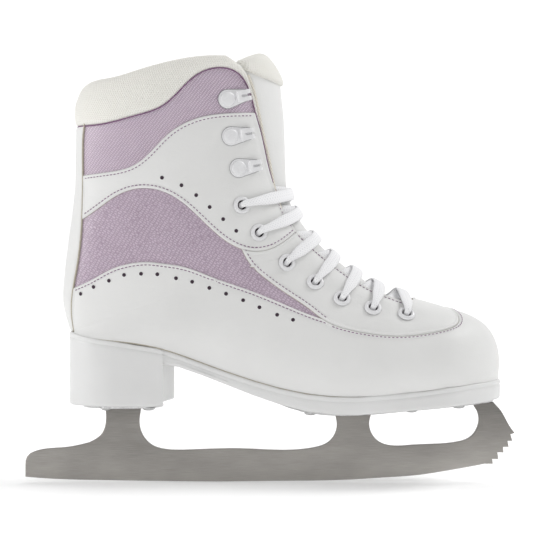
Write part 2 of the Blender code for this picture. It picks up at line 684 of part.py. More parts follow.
def make_foot_support():
    flat_piece(
        "footbed", "footbed_foam", foot_outline(8.2), lambda x: sole_top(x) + 7.6, lambda x: sole_top(x) + 4.4
    )
    flat_piece(
        "insole_board", "board", foot_outline(8.0), lambda x: sole_top(x) + 4.1, lambda x: sole_top(x) + 1.9
    )
    strip = rounded_strip(-88.0, 38.0, lambda x: 7.0)
    flat_piece("shank", "fastener_steel", strip, lambda x: sole_top(x) + 1.6, sole_top)


def rounded_strip(start, stop, half):
    """An outline from above along X, with this half-width and round ends."""
    first, last = float(half(start)), float(half(stop))
    upper = [(start + first * (1 + math.cos(a)), first * math.sin(a)) for a in np.radians((180, 150, 120))]
    upper += [(x, float(half(x))) for x in np.linspace(start + first, stop - last, 7)]
    upper += [(stop - last * (1 - math.cos(a)), last * math.sin(a)) for a in np.radians((60, 30, 0))]
    return np.array([*upper, *[(x, -y) for x, y in upper[-2:0:-1]]])


# --- Sole, plates and blade ---------------------------------------------------------------

HEEL_SCREWS = [(x, y) for x in (-97.0, -72.0) for y in (-11.0, 11.0)]
SOLE_SCREWS = [(x, y) for x in (24.0, 84.0, 112.0) for y in (-11.5, 11.5)]
SCREW_SHANK, SCREW_BORE, SCREW_HEAD = 1.9, 2.2, 3.7
HEAD_HEIGHT, SHANK_LENGTH = 1.5, 8.0
heel_plate_half = spline((-112, -104, -85, -64), (14, 18, 19, 16))
sole_plate_half = spline((5, 30, 70, 105, 134), (13, 19, 20.5, 18.5, 10))


def heel_plate_top(x):
    return np.full(np.shape(x), HEEL_BOTTOM_Z - GAP)


def sole_plate_top(x):
    return sole_bottom(x) - GAP


def turned(profile, steps, centre, axes):
    """A solid of revolution from (radius, height) points, about the third of the axes."""
    points, faces = [], []
    count = len(profile)
    for turn in np.linspace(0, 2 * math.pi, steps, endpoint=False):
        ray = math.cos(turn) * axes[0] + math.sin(turn) * axes[1]
        points += [centre + r * ray + h * axes[2] for r, h in profile]
    whole = profile[0][0] > 0
    for i in range(steps):
        after = (i + 1) % steps
        for j in range(count if whole else count - 1):
            k = (j + 1) % count
            faces.append((i * count + j, after * count + j, after * count + k, i * count + k))
    return np.array(points), faces


UPRIGHT = np.eye(3)


def screw_bores():
    """Blind bores for every screw, as a hidden cutter."""
    points, faces = [], []
    for x, y in HEEL_SCREWS + SOLE_SCREWS:
        low = (heel_plate_top(x) if x < 0 else sole_plate_top(x)) - 2.0
        profile = [(0, 0), (SCREW_BORE, 0), (SCREW_BORE, SHANK_LENGTH + 1.5), (0, SHANK_LENGTH + 1.5)]
        found, sides = turned(profile, 8, np.array([x, y, float(low)]), UPRIGHT)
        faces += [tuple(i + len(points) for i in face) for face in sides]
        points += list(found)
    return hidden(add_object("screw_bores", points, faces, "board"))


def hidden(obj):
    obj.hide_render = True
    obj.hide_viewport = False
    obj.display_type = "WIRE"
    return obj


def boolean(obj, operation, other):
    change = obj.modifiers.new(f"{operation.lower()}_{other.name}", "BOOLEAN")
    change.operation = operation
    change.object = other
    change.solver = "EXACT"


def make_sole():
    outline = foot_outline(-SOLE_WELT)
    sole = flat_piece(
        "outsole", "sole_white", outline, lambda x: sole_top(x) - 2 * GAP, lambda x: sole_bottom(np.maximum(x, -122))
    )
    back = foot_outline(-SOLE_WELT - 0.01, HEEL_STATION, 13.4)
    back = back[back[:, 0] < HEEL_BREAST_X - 1]
    side = back[back[:, 1] > 0, 1].max()
    breast = [(HEEL_BREAST_X - 5.5 * (1 - (y / side) ** 2), y) for y in np.linspace(side, -side, 7)]
    lateral = back[back[:, 1] < 0]
    medial = back[back[:, 1] > 0]
    order = [*lateral[np.argsort(-lateral[:, 0])], *medial[np.argsort(medial[:, 0])], *breast]
    block = flat_piece(
        "heel_shape", "sole_white", order, lambda x: sole_bottom(np.maximum(x, -122)) + 3.0,
        lambda x: np.full(np.shape(x), HEEL_BOTTOM_Z),
    )
    boolean(sole, "UNION", hidden(block))
    boolean(sole, "DIFFERENCE", screw_bores())


def circle(x, y, radius, steps=8):
    turn = np.linspace(0, 2 * math.pi, steps, endpoint=False)
    return np.stack([x + radius * np.cos(turn), y + radius * np.sin(turn)], axis=1)


def make_plates():
    for name, screws, ends, half, top in (
        ("heel_plate", HEEL_SCREWS, (-112.0, -64.0), heel_plate_half, heel_plate_top),
        ("sole_plate", SOLE_SCREWS, (5.0, 134.0), sole_plate_half, sole_plate_top),
    ):
        flat_piece(
            name, "blade_steel", rounded_strip(*ends, half), top, lambda x, top=top: top(x) - PLATE_THICKNESS,
            [circle(x, y, SCREW_BORE) for x, y in screws],
        )
        for number, (x, y) in enumerate(screws, 1):
            low = float(top(x)) - PLATE_THICKNESS - GAP
            profile = [
                (0, -HEAD_HEIGHT), (2.2, -HEAD_HEIGHT), (SCREW_HEAD, -0.5), (SCREW_HEAD, 0),
                (SCREW_SHANK, 0), (SCREW_SHANK, SHANK_LENGTH), (0, SHANK_LENGTH + 1.0),
            ]
            spot = np.array([x, y, low - 0.4])
            word = name.split("_")[0]
            add_object(f"{word}_screw_{number}", *turned(profile, 8, spot, UPRIGHT), "fastener_steel", spot)


def plate_under(x):
    top = heel_plate_top(x) if x < 0 else sole_plate_top(x)
    return (x, float(top) - PLATE_THICKNESS - GAP)


def make_blade():
    rear, front = smooth_line(REAR_WINDOW, 5.0), smooth_line(FRONT_WINDOW, 5.0)
    top_front = [plate_under(x) for x in (134.0, 128.0, 121.6)]
    top_middle = [plate_under(x) for x in (61.0, 50.0, 39.0)]
    top_heel = [plate_under(x) for x in (-77.4, -98.6)]
    outline = np.concatenate([
        smooth_line(BLADE_BOTTOM, 14.0), TOE_PICKS[1:], smooth_line(TOE_FRONT, 5.0)[1:-1], top_front,
        front[::-1][1:-1], top_middle, rear[::-1][1:-1], top_heel, smooth_line(HEEL_STANCHION_BACK, 5.0)[1:],
        smooth_line(TAIL, 7.0)[1:],
    ])
    half = BLADE_THICKNESS / 2
    flat, faces = flat_mesh(outline, (), np.array([-500.0, -400.0]), np.array([500.0, 600.0]))
    x, z = flat.T
    near = np.stack([x, np.full(len(x), -half), z], axis=1)
    add_object("blade", *walled(near, near + (0, 2 * half, 0), faces), "blade_steel")


# --- Tongue -------------------------------------------------------------------------------

PAD_END, TONGUE_TOP = 0.95, 0.12
TONGUE_LEAN = 13.0
throat_v = throat_reach(0.0)


def lay_tongue(t, v, depth):
    """The front of the boot, leaning back at the very top."""
    points = lay_front(t, v, depth)
    points[..., 0] -= TONGUE_LEAN * np.clip((1.2 - np.asarray(t, float)) / 1.2, 0, 1) ** 2
    return points


def tongue_half(t, clear):
    """Half the tongue's width in v, clear of the throat's edge by this much."""
    return 1 - throat_v(max(t, 1.3)) - clear


def tongue_outer(t, v):
    """The tongue's front: it crowns between the facings and lies under them at its edges."""
    t, v = np.asarray(t, float), np.abs(np.asarray(v, float))
    reach = np.array([tongue_half(one, 0.0) for one in t])
    crown = np.clip(1 - v / np.maximum(reach, 0.02), 0, 1) ** 0.7
    tail = np.clip((16.6 - t) / 2.2, 0, 1)
    return TONGUE_SIDE_DEPTH - 4.4 * crown * tail


def tongue_outline(rows, clear):
    """A closed outline down one edge of the tongue, across, up the other edge and across."""
    right = np.array([(t, tongue_half(t, clear)) for t in rows])
    share = np.linspace(-1, 1, 9)[1:-1]
    low, high = right[-1], right[0]
    bottom = np.stack([np.full(len(share), low[0]), low[1] * share], axis=1)
    top = np.stack([np.full(len(share), high[0]), -high[1] * share], axis=1)
    return np.concatenate([right * (1, -1), bottom, right[::-1], top])


def make_tongue():
    columns = np.array([-0.36, -0.3, -0.24, -0.16, -0.08, 0, 0.08, 0.16, 0.24, 0.3, 0.36])
    skin_panel(
        "tongue_lower", "white_leather", lay_tongue,
        tongue_outline([TONGUE_FOLD + 0.06, *np.arange(4.6, 17, 1.2), 17.2], -0.06),
        tongue_outer, TONGUE_BACK_DEPTH, rows=np.arange(4.6, 17, 1.0), columns=columns,
    )
    for name, finish, rows, extra in (
        ("tongue_upper", "white_leather", [1.0, 1.5, 2.1, 2.7, 3.3, TONGUE_FOLD - 0.06], 0.0),
        ("tongue_pad", "cream_mesh", [TONGUE_TOP, 0.35, 0.6, PAD_END], 0.7),
    ):
        add = skin_panel(
            name, finish, lay_tongue, tongue_outline(rows, 0.03),
            lambda t, v, extra=extra: 0.55 * tongue_outer(t, v) - extra, TONGUE_BACK_DEPTH,
            rows=np.array(rows[1:-1]), columns=columns,
        )
        move_origin(add, fold_axis())


def fold_axis():
    """The tongue folds about a line across its front face."""
    x, _, z = lay_tongue(TONGUE_FOLD, 0.0, 0.0)
    return np.array([x, 0.0, z])


def move_origin(obj, place):
    """The object's origin on its joint, with the mesh where it was."""
    offset = Vector((place * MM).tolist()) - obj.location
    obj.data.transform(Matrix.Translation(-offset))
    obj.location += offset


# --- Eyelets, hooks and the lace ----------------------------------------------------------


def make_eyelets():
    profile = [
        (EYELET_BORE, -1.9), (EYELET_BARREL, -1.9), (EYELET_BARREL, GAP), (EYELET_RADIUS, 0.75),
        (4.3, 1.4), (EYELET_BORE + 0.3, 1.4),
    ]
    for number, place in enumerate(on_side(EYELETS), 1):
        for word, side in SIDES.items():
            centre, *axes = skin_frame(*place, side)
            solid = turned(profile, 10, centre, np.array(axes))
            add_object(f"eyelet_{word}_{number}", *solid, "enamel_white", centre)


HOOK_BASE = 5.7
HOOK_LENGTH = 14.5


def make_hooks():
    base = [(-HOOK_BASE, 0.4), (-5.0, 2.8), (-3.6, 4.4), (-1.5, 5.5), (1.5, 5.4), (4.0, 4.6), (9.0, 3.9)]
    fold = [(HOOK_LENGTH - 2, 3.6), (HOOK_LENGTH, 3.4)]
    lower = [(a, 0.35, w) for a, w in base] + [(fold[0][0], 0.35, 3.6), (fold[1][0], 1.4, 3.4)]
    upper = [(fold[1][0], 4.4, 3.4), (fold[0][0], 5.3, 3.6), (8.0, 5.6, 3.7), (4.2, 6.3, 3.8)]
    under = [(4.4, 5.3, 3.8), (8.0, 4.5, 3.7), (fold[0][0] - 0.4, 4.1, 3.6), (fold[1][0] - 1.1, 2.9, 3.4)]
    inner = [(fold[0][0] - 0.6, 1.6, 3.6), (8.0, 1.45, 3.9), (4.0, 1.45, 4.6), (3.2, 2.2, 3.9), (-3.0, 2.2, 3.9)]
    back = [(-4.2, 1.45, 3.9), (-5.3, 1.2, 2.2)]
    profile = lower + upper + under + inner + back
    count = len(profile)
    for number, (x, z) in enumerate(HOOKS, 1):
        for word, side in SIDES.items():
            centre, _, _, out = skin_frame(*on_side([(x, z)])[0], side)
            forward = np.array([1.0, 0.0, 0.10])
            forward -= out * (forward @ out)
            forward /= np.linalg.norm(forward)
            across = np.cross(out, forward)
            points = [centre + a * forward + h * out + w * across * sign for sign in (-1, 1) for a, h, w in profile]
            caps = [tuple(range(count)), tuple(range(2 * count - 1, count - 1, -1))]
            sides = [(i, (i + 1) % count, (i + 1) % count + count, i + count) for i in range(count)]
            add_object(f"hook_{word}_{number}", points, [*caps, *sides], "enamel_white", centre)


def lace_run(places, first_side):
    """The lace from the middle of the bottom bar up one zigzag, as (t, v, depth, squeeze).

    It comes up through each eyelet, crosses over the tongue and goes under the far facing.
    """
    run = []
    side = first_side
    for number, (t, s) in enumerate(places):
        v = side * (1 - s)
        run += [(t, v, LACE_UNDER, 0.8), (t, v, 1.8, 1.0), (t, v, 0.2, 1.0), (t, v, -1.8, 1.0), (t, v, -2.6, 0.9)]
        last = number + 1 == len(places)
        t2, s2 = (t - 0.85, s - 0.02) if last else places[number + 1]
        v2 = -side * (1 - s2)
        edge, edge2 = 1 - throat_v(t), 1 - throat_v(t2)
        level = -1.1 if (number + (first_side > 0)) % 2 else -2.8

        def at(v_now, depth, squeeze=0.0, t=t, v=v, t2=t2, v2=v2):
            return (t + (t2 - t) * (v_now - v) / (v2 - v), v_now, depth, squeeze)

        run += [at(v + (v2 - v) * 0.06, LACE_OVER - 0.5, 0.7), at(v + (v2 - v) * 0.15, LACE_OVER - 0.2)]
        run += [at(side * edge, LACE_OVER), at(side * edge * 0.5, min(LACE_OVER, level))]
        run += [at(0.0, level), at(-side * edge2 * 0.45, on_tongue(t2, edge2 * 0.45))]
        run += [at(-side * edge2 * 0.8, on_tongue(t2, edge2 * 0.8)), at(-side * edge2, LACE_UNDER)]
        run.append(at(v + (v2 - v) * 0.93, LACE_UNDER, 0.4))
        if last:
            run.append((t2, v2, LACE_UNDER, 0.0))
        side = -side
    return run


def on_tongue(t, v):
    """The depth at which the lace lies on the tongue."""
    return float(tongue_outer([t], [v])[0]) - LACE_THICKNESS / 2 - 1.0


def corners_cut(points, times):
    """A polyline with its corners cut this many times, which never swings past its points."""
    for _ in range(times):
        near = 0.75 * points[:-1] + 0.25 * points[1:]
        far = 0.25 * points[:-1] + 0.75 * points[1:]
        between = np.stack([near, far], axis=1).reshape(-1, points.shape[1])
        points = np.concatenate([points[:1], between[1:-1], points[-1:]])
    return points


def evenly(points, count, closeness):
    """A polyline's places at even distances, and nearer together where closeness is higher."""
    steps = np.linalg.norm(np.diff(points[:, :3], axis=0), axis=1) * (closeness[1:] + closeness[:-1]) / 2
    length = np.concatenate([[0], np.cumsum(steps)])
    at = np.linspace(0, length[-1], count)
    return np.stack([np.interp(at, length, column) for column in points.T], axis=1)


def make_lace():
    places = on_side(EYELETS)[::-1]
    start, across = places[0]
    bar = [(start, share * (1 - across), LACE_UNDER, 0.0) for share in (-0.6, -0.2, 0.2, 0.6)]
    route = np.array([*lace_run(places, LATERAL)[::-1], *bar, *lace_run(places, MEDIAL)])
    t, v, depth, squeeze = route.T
    centres = lay_front(t, v, depth)
    along_t = lay_front(t + 0.02, v, depth) - lay_front(t - 0.02, v, depth)
    along_t /= np.linalg.norm(along_t, axis=1)[:, None]
    fine = corners_cut(np.concatenate([centres, along_t, squeeze[:, None]], axis=1), 2)
    fine = evenly(fine, LACE_POINTS, 1 + 2 * fine[:, 6])
    centre, up, squeeze = fine[:, :3], fine[:, 3:6], fine[:, 6:]
    travel = np.gradient(centre, axis=0)
    travel /= np.linalg.norm(travel, axis=1)[:, None]
    across = up - travel * (up * travel).sum(axis=1)[:, None]
    across /= np.linalg.norm(across, axis=1)[:, None]
    thick = np.cross(travel, across)
    half_wide = (LACE_WIDTH / 2) * (1 - squeeze) + LACE_BUNCHED[0] * squeeze
    half_thick = (LACE_THICKNESS / 2) * (1 - squeeze) + LACE_BUNCHED[1] * squeeze
    turns = np.linspace(0, 2 * math.pi, LACE_SIDES, endpoint=False)
    points = np.concatenate([
        np.stack([
            centre[i] + half_wide[i] * math.cos(a) * across[i] + half_thick[i] * math.sin(a) * thick[i] for a in turns
        ])
        for i in range(LACE_POINTS)
    ])
    faces = []
    for i in range(LACE_POINTS - 1):
        for j in range(LACE_SIDES):
            k = (j + 1) % LACE_SIDES
            faces.append((i * LACE_SIDES + j, i * LACE_SIDES + k, (i + 1) * LACE_SIDES + k, (i + 1) * LACE_SIDES + j))
    last = (LACE_POINTS - 1) * LACE_SIDES
    faces += [tuple(range(LACE_SIDES))[::-1], tuple(range(last, last + LACE_SIDES))]
    add_object("lace", points, faces, "lace_cotton")


def main():
    for obj in list(bpy.data.objects):
        bpy.data.objects.remove(obj, do_unlink=True)
    make_side_panels()
    make_collar()
    make_backstay()
    make_vamp()
    make_inner_layers()
    make_foot_support()
    make_sole()
    make_plates()
    make_blade()
    make_tongue()
    make_eyelets()
    make_hooks()
    make_lace()


main()
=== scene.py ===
"""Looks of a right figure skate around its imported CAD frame. Lengths are in millimetres up to the
point where a mesh is made; +X runs to the toe, +Z up and +Y to the inner side."""

import json
import math

import bmesh
import bpy
import numpy as np
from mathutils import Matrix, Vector
from mathutils.geometry import delaunay_2d_cdt

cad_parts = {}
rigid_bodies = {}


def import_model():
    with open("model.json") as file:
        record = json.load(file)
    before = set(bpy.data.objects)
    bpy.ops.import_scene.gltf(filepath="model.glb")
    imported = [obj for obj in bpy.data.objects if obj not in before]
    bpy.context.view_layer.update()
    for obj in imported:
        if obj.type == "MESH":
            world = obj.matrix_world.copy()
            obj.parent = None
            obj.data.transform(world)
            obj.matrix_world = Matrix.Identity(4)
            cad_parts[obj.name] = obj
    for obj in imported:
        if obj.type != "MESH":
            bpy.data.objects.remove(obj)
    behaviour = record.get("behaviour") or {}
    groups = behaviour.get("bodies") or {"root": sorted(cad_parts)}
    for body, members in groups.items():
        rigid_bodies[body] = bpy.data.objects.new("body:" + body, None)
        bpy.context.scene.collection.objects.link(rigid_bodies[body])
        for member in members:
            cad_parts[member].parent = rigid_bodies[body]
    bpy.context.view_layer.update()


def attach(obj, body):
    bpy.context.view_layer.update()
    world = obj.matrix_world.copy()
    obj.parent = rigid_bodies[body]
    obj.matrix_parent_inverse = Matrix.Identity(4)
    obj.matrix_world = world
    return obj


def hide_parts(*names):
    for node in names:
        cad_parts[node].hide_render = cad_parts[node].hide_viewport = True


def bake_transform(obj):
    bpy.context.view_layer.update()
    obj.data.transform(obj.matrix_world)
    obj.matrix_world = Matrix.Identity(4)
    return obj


for old in list(bpy.data.objects):
    bpy.data.objects.remove(old, do_unlink=True)
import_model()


MM = 0.001
LATERAL = -1
MEDIAL = 1
SIDES = {"lateral": LATERAL, "medial": MEDIAL}

# --- Driving dimensions -------------------------------------------------------------------

BOOT_HEEL_X = -119.0
BOOT_TOE_X = 137.0
HEEL_BOTTOM_Z = 47.2
HEEL_BREAST_X = -60.5
PLATE_THICKNESS = 1.9
BLADE_THICKNESS = 3.9
BLADE_CHAMFER = 0.3
GAP = 0.3
SOLE_WELT = 1.2
# The lining's depth inside the skin, the footbed's, and the footbed's lower and upper face above
# the sole.
LINING_DEPTH, FOOTBED_DEPTH = 5.0, 8.2
FOOTBED_LOW, FOOTBED_HIGH = 4.6, 7.6

# How deep the lace lies over a facing, under it, and how far over the tongue. A depth is
# measured inwards from the skin.
LACE_OVER, LACE_UNDER = -2.3, 3.2
LACE_ON_TONGUE = 1.6
# Half the lace's width and half its thickness, where it lies flat and where an eyelet gathers it.
LACE_FLAT = (3.6, 0.95)
LACE_GATHERED = (1.7, 1.3)
LACE_RINGS, LACE_SIDES = 900, 14
# The width that the lace's weave is drawn for.
LACE_WIDTH = 5.6

HEEL_STATION = 10
LAST_STATION = 24
TONGUE_FOLD = 3.9
TONGUE_SIDE_DEPTH = 5.0

# The boot from the side. Each row is one section line across the boot: where it starts on the
# back seam, or on the sole's edge from row 10 on, and where it ends on the front.
BACK_SEAM = (
    (-109.2, 241.0), (-114.6, 226.0), (-115.8, 208.0), (-116.1, 190.0), (-116.7, 173.2), (-118.8, 155.8),
    (-121.2, 137.8), (-122.9, 121.6), (-123.4, 109.0), (-121.6, 99.4), (BOOT_HEEL_X, 90.4),
)
SOLE_STATIONS = (
    BOOT_HEEL_X, -108.0, -90.0, -66.0, -39.0, -9.0, 21.0, 51.0, 78.0, 102.0, 120.0, 130.8, 135.0, 136.6,
    BOOT_TOE_X,
)
FRONT_LINE = (
    (6.6, 260.2), (6.6, 238.6), (8.4, 220.0), (9.3, 200.2), (10.0, 182.2), (11.6, 171.0), (15.0, 163.0),
    (19.2, 156.2), (23.2, 150.6), (26.6, 146.6), (29.6, 143.4), (32.6, 140.4), (36.4, 136.8), (41.8, 132.4),
    (49.4, 126.9), (59.4, 121.0), (71.4, 115.4), (84.6, 110.8), (97.8, 106.8), (111.6, 102.8), (123.4, 98.0),
    (131.2, 91.6), (135.6, 83.4), (137.3, 74.0), (BOOT_TOE_X, 61.9),
)
# Greatest half-width of each section, and how far the section's middle leans to the inner side.
HALF_WIDTH = (
    39.5, 38.0, 36.5, 35.5, 35.0, 34.5, 34.0, 33.2, 32.6, 32.2, 32.2, 32.6, 33.2, 34.2,
    36.4, 39.6, 42.6, 44.8, 45.4, 44.0, 42.0, 41.0, 40.5, 40.5, 40.5,
)
MIDDLE_Y = (*[0] * 12, 0.3, 0.6, 0.8, 0.6, 0.2, -0.2, 0, 0.6, 1.4, 2.0, 2.4, 2.6, 2.6)
FULLNESS = (
    *[0.9] * 4, 0.88, 0.84, 0.8, 0.76, 0.73, 0.71, 0.7, 0.72, 0.75, 0.78, 0.8, 0.82, *[0.84] * 9,
)
# The sole's edge: its height along X, the bottom of the sole, and half its width before the
# heel and toe are rounded off.
SOLE_TOP = (
    (-119, 90.4), (-107, 87.6), (-89, 85.5), (-64.5, 81.3), (-38, 72.2), (-9, 62.4), (20, 55.6),
    (49, 53.8), (75, 55.7), (98, 58.3), (117, 60.3), (137, 61.9),
)
SOLE_BOTTOM = (
    (-122, 74.5), (-75, 73.5), (-56, 70.9), (-41, 65.9), (-18, 56.9), (1.7, 49.9), (17, 45.7), (37, 43.3),
    (47, 43.2), (72, 45.0), (97, 47.2), (118, 49.0), (140, 50.8),
)
SOLE_HALF_WIDTH = (
    (-119, 29.5), (-80, 29.5), (-45, 27.5), (-10, 30), (25, 36), (55, 41), (85, 42), (110, 40), (137, 38),
)
HEEL_ROUND, TOE_ROUND, ROUND_POWER = 32.0, 50.0, 2.2

# Seams of the boot seen from the side, the same on both sides.
COLLAR_TOP = (
    (-116, 229), (-111.5, 236.5), (-106.5, 238.5), (-93, 240), (-80, 243), (-60, 248), (-38, 251.5),
    (-22, 252),
)
COLLAR_SEAM = (
    (-119, 212.5), (-99, 212.5), (-78, 217), (-63, 222), (-52, 231.5), (-41, 241), (-28, 244.5), (-19, 242),
    (-12.5, 233), (-9, 221), (-5.5, 209), (-1.5, 191), (1.5, 180), (5, 171),
)
THROAT_EDGE = (
    (-27, 253), (-18, 247.5), (-12.5, 241), (-9.5, 233), (-7, 223), (-4.5, 211), (-1.5, 198), (1.5, 184),
    (3.5, 174), (7, 163.5), (14, 152.5), (22.5, 143.5), (35, 132.5), (47, 123.5), (62.5, 114.5), (74, 110.2),
    (82, 108.6), (86, 110.6),
)
BACKSTAY_EDGE = (
    (-108, 222), (-110.5, 208), (-111, 188), (-111, 166), (-111.5, 150), (-113.5, 132), (-117, 112),
    (-117.5, 99), (-115, 84),
)
QUARTER_TOP = (
    (-119, 182.5), (-95, 184.5), (-80, 188), (-69.5, 196), (-59.5, 206), (-48.5, 213), (-33.5, 217.5),
    (-17.5, 219), (2, 220),
)
QUARTER_BOTTOM = (
    (-121, 151), (-100, 164), (-89, 171), (-77, 174.5), (-65, 173.5), (-54, 168.5), (-43, 159.5), (-33, 150),
    (-23, 142.5), (-12.5, 138.5), (0, 139.5), (10.5, 145.5), (20, 154),
)
EYESTAY_START = ((-18, 143), (-12, 131.5), (-2, 122), (10, 113.5), (24, 104), (31, 98.5))
EYESTAY_EDGE = (
    *EYESTAY_START, (41, 94), (57, 90.5), (76, 89), (95, 91), (106, 93.7), (110.5, 96.7), (111.2, 99.5),
    (110, 102), (107.5, 104),
)
FOXING_TOP = (
    (-124, 113.5), (-114, 117.5), (-104, 122), (-92.5, 128), (-82, 131), (-72, 132), (-62, 131), (-52, 129.5),
    (-32, 122.5), (-12, 115.5), (8, 107.5), (27, 100), (38, 96.5),
)
INNER_EYESTAY_EDGE = (
    *EYESTAY_START, (40, 94.5), (54, 92), (68, 91), (80, 91.6), (91, 94), (99, 97.3), (104.3, 101),
    (107.5, 104),
)

EYELETS = ((-16.5, 165), (-6.5, 149), (10, 131.5), (26.5, 120), (42, 110.5), (60, 105), (79.5, 101.5))
# Each hook's place, and how far it tips up from level as rise over run.
HOOKS = ((-25, 226.5, 0.21), (-23, 205, 0.14), (-18.5, 186.5, 0.14))
EYELET_HOLE = 3.3

BLADE_BOTTOM = (
    (-146.8, 2.8), (-132, 1.7), (-102, 0.8), (-72, 0.3), (-27, 0), (9, 0.3), (48, 1.1), (66, 2.2), (90, 4.0),
    (108, 6.8), (120, 8.9), (129.3, 10.7),
)
TOE_PICKS = (
    (133.7, 10.7), (133.3, 13.6), (137, 13.6), (136.4, 17.6), (140.1, 17.5), (139.8, 20.8), (143.2, 20.9),
    (142.5, 24.4), (145.4, 24.5), (144.2, 28.4), (146.8, 29.2),
)
TAIL = ((-108.6, 23.5), (-122, 20.7), (-142.2, 17.8), (-145.6, 15.6), (-146.8, 10))
HEEL_STANCHION_BACK = ((-98.6, 43.5), (-98.4, 37.7), (-99.8, 31), (-103, 26.8), (-108.6, 23.5))
REAR_WINDOW = (
    (-77.4, 43.5), (-78.4, 36.7), (-76.6, 28.4), (-70.8, 22), (-62.1, 19.4), (-49.8, 19.1), (-18.6, 19.9),
    (27.6, 20.8), (34.2, 23.2), (38.6, 28), (40.1, 35.3), (39, 40.4),
)
FRONT_WINDOW = (
    (60.8, 40.8), (59.5, 35.2), (60.9, 29.2), (65.4, 24), (72.9, 21.6), (85.2, 22), (112.2, 23.9),
    (119.8, 26.6), (124.4, 32.6), (125.3, 38), (123.6, 43.6), (121.8, 45.8),
)
TOE_FRONT = ((146.8, 29.2), (143.2, 34.3), (138.2, 43.1), (134.4, 47.2))

# --- Curves -------------------------------------------------------------------------------


def spline(knots, values):
    """The natural cubic spline through values at knots, as a function that takes an array."""
    knots = np.asarray(knots, float)
    values = np.asarray(values, float).reshape(len(knots), -1)
    count = len(knots)
    step = np.diff(knots)
    slope = np.diff(values, axis=0) / step[:, None]
    matrix = np.eye(count)
    right = np.zeros_like(values)
    for i in range(1, count - 1):
        matrix[i, i - 1 : i + 2] = step[i - 1], 2 * (step[i - 1] + step[i]), step[i]
        right[i] = 6 * (slope[i] - slope[i - 1])
    bend = np.linalg.solve(matrix, right)

    def at(u):
        u = np.clip(np.asarray(u, float), knots[0], knots[-1])
        i = np.clip(np.searchsorted(knots, u, side="right") - 1, 0, count - 2)
        after = ((u - knots[i]) / step[i])[..., None]
        before = 1 - after
        square = (step[i] ** 2)[..., None] / 6
        curve = (before**3 - before) * bend[i] + (after**3 - after) * bend[i + 1]
        found = before * values[i] + after * values[i + 1] + square * curve
        return found if values.shape[1] > 1 else found[..., 0]

    return at


def height_along_x(points):
    return spline([x for x, _ in points], [z for _, z in points])


def unit(rows):
    return rows / np.linalg.norm(rows, axis=1)[:, None]


def lengths(points):
    """How far along a polyline each of its points is."""
    return np.concatenate([[0], np.cumsum(np.linalg.norm(np.diff(points, axis=0), axis=1))])


def circle(count):
    """Angles at even steps round a circle."""
    return np.linspace(0, 2 * math.pi, count, endpoint=False)


def smooth_line(points, spacing):
    """A smooth line through points, as points about spacing apart."""
    points = np.asarray(points, float)
    along = np.concatenate([[0], np.cumsum(np.hypot(*np.diff(points, axis=0).T))])
    count = max(2, int(along[-1] / spacing) + 1)
    return spline(along, points)(np.linspace(0, along[-1], count))


def shifted(line, distance):
    """The line moved to its left by distance, in its own plane."""
    along = unit(np.gradient(line, axis=0))
    return line + distance * np.stack([-along[:, 1], along[:, 0]], axis=1)


def crossing(first, second):
    """Where two lines first cross: a segment and a fraction of it on each."""
    for i in range(len(first) - 1):
        a, along = first[i], first[i + 1] - first[i]
        for j in range(len(second) - 1):
            b, across = second[j], second[j + 1] - second[j]
            size = along[0] * across[1] - along[1] * across[0]
            if abs(size) < 1e-12:
                continue
            f = ((b - a)[0] * across[1] - (b - a)[1] * across[0]) / size
            g = ((b - a)[0] * along[1] - (b - a)[1] * along[0]) / size
            if 0 <= f <= 1 and 0 <= g <= 1:
                return i + f, j + g
    raise ValueError("two seams that bound a panel don't cross")


def stretch(line, start, end):
    """The run of a line between two places on it, each given as segment + fraction."""
    low, high = min(start, end), max(start, end)
    inner = [line[i] for i in range(len(line)) if low + 0.15 < i < high - 0.15]
    ends = []
    for place in (low, high):
        i = min(int(place), len(line) - 2)
        ends.append(line[i] + (place - i) * (line[i + 1] - line[i]))
    run = np.array([ends[0], *inner, ends[1]])
    return run if start <= end else run[::-1]


def ring(*lines):
    """Lines that each cross the next, and the last the first, trimmed to one closed outline."""
    count = len(lines)
    starts, stops = [0.0] * count, [0.0] * count
    for i in range(count):
        stops[i], starts[(i + 1) % count] = crossing(lines[i], lines[(i + 1) % count])
    runs = [stretch(*one) for one in zip(lines, starts, stops)]
    return np.concatenate([run[:-1] for run in runs])


# --- The boot's surface -------------------------------------------------------------------

STATIONS = np.arange(LAST_STATION + 1)
# Stations of the sole's outline: closer together round the heel, the shank and the toe.
ROWS = np.array([
    10.08, 10.25, 10.5, 11, 11.5, 12, 13, 13.5, 14, 14.5, 15, 15.5, 16, 16.5, 17,
    18, 19, 20, 21, 22, 22.6, 23.1, 23.5, 23.8,
])
back_seam = spline(STATIONS[: HEEL_STATION + 1], BACK_SEAM)
sole_station = spline(STATIONS[HEEL_STATION:], SOLE_STATIONS)
front_line = spline(STATIONS, FRONT_LINE)
half_width = spline(STATIONS, HALF_WIDTH)
middle_y = spline(STATIONS, MIDDLE_Y)
fullness = spline(STATIONS, FULLNESS)
sole_top = height_along_x(SOLE_TOP)
sole_bottom = height_along_x(SOLE_BOTTOM)
sole_half_width = height_along_x(SOLE_HALF_WIDTH)


def rounding(distance, length):
    """How far a plan outline has opened, from 0 at its end to 1 at length from it."""
    rest = 1 - np.clip(distance / length, 0, 1)
    return (1 - rest**ROUND_POWER) ** (1 / ROUND_POWER)


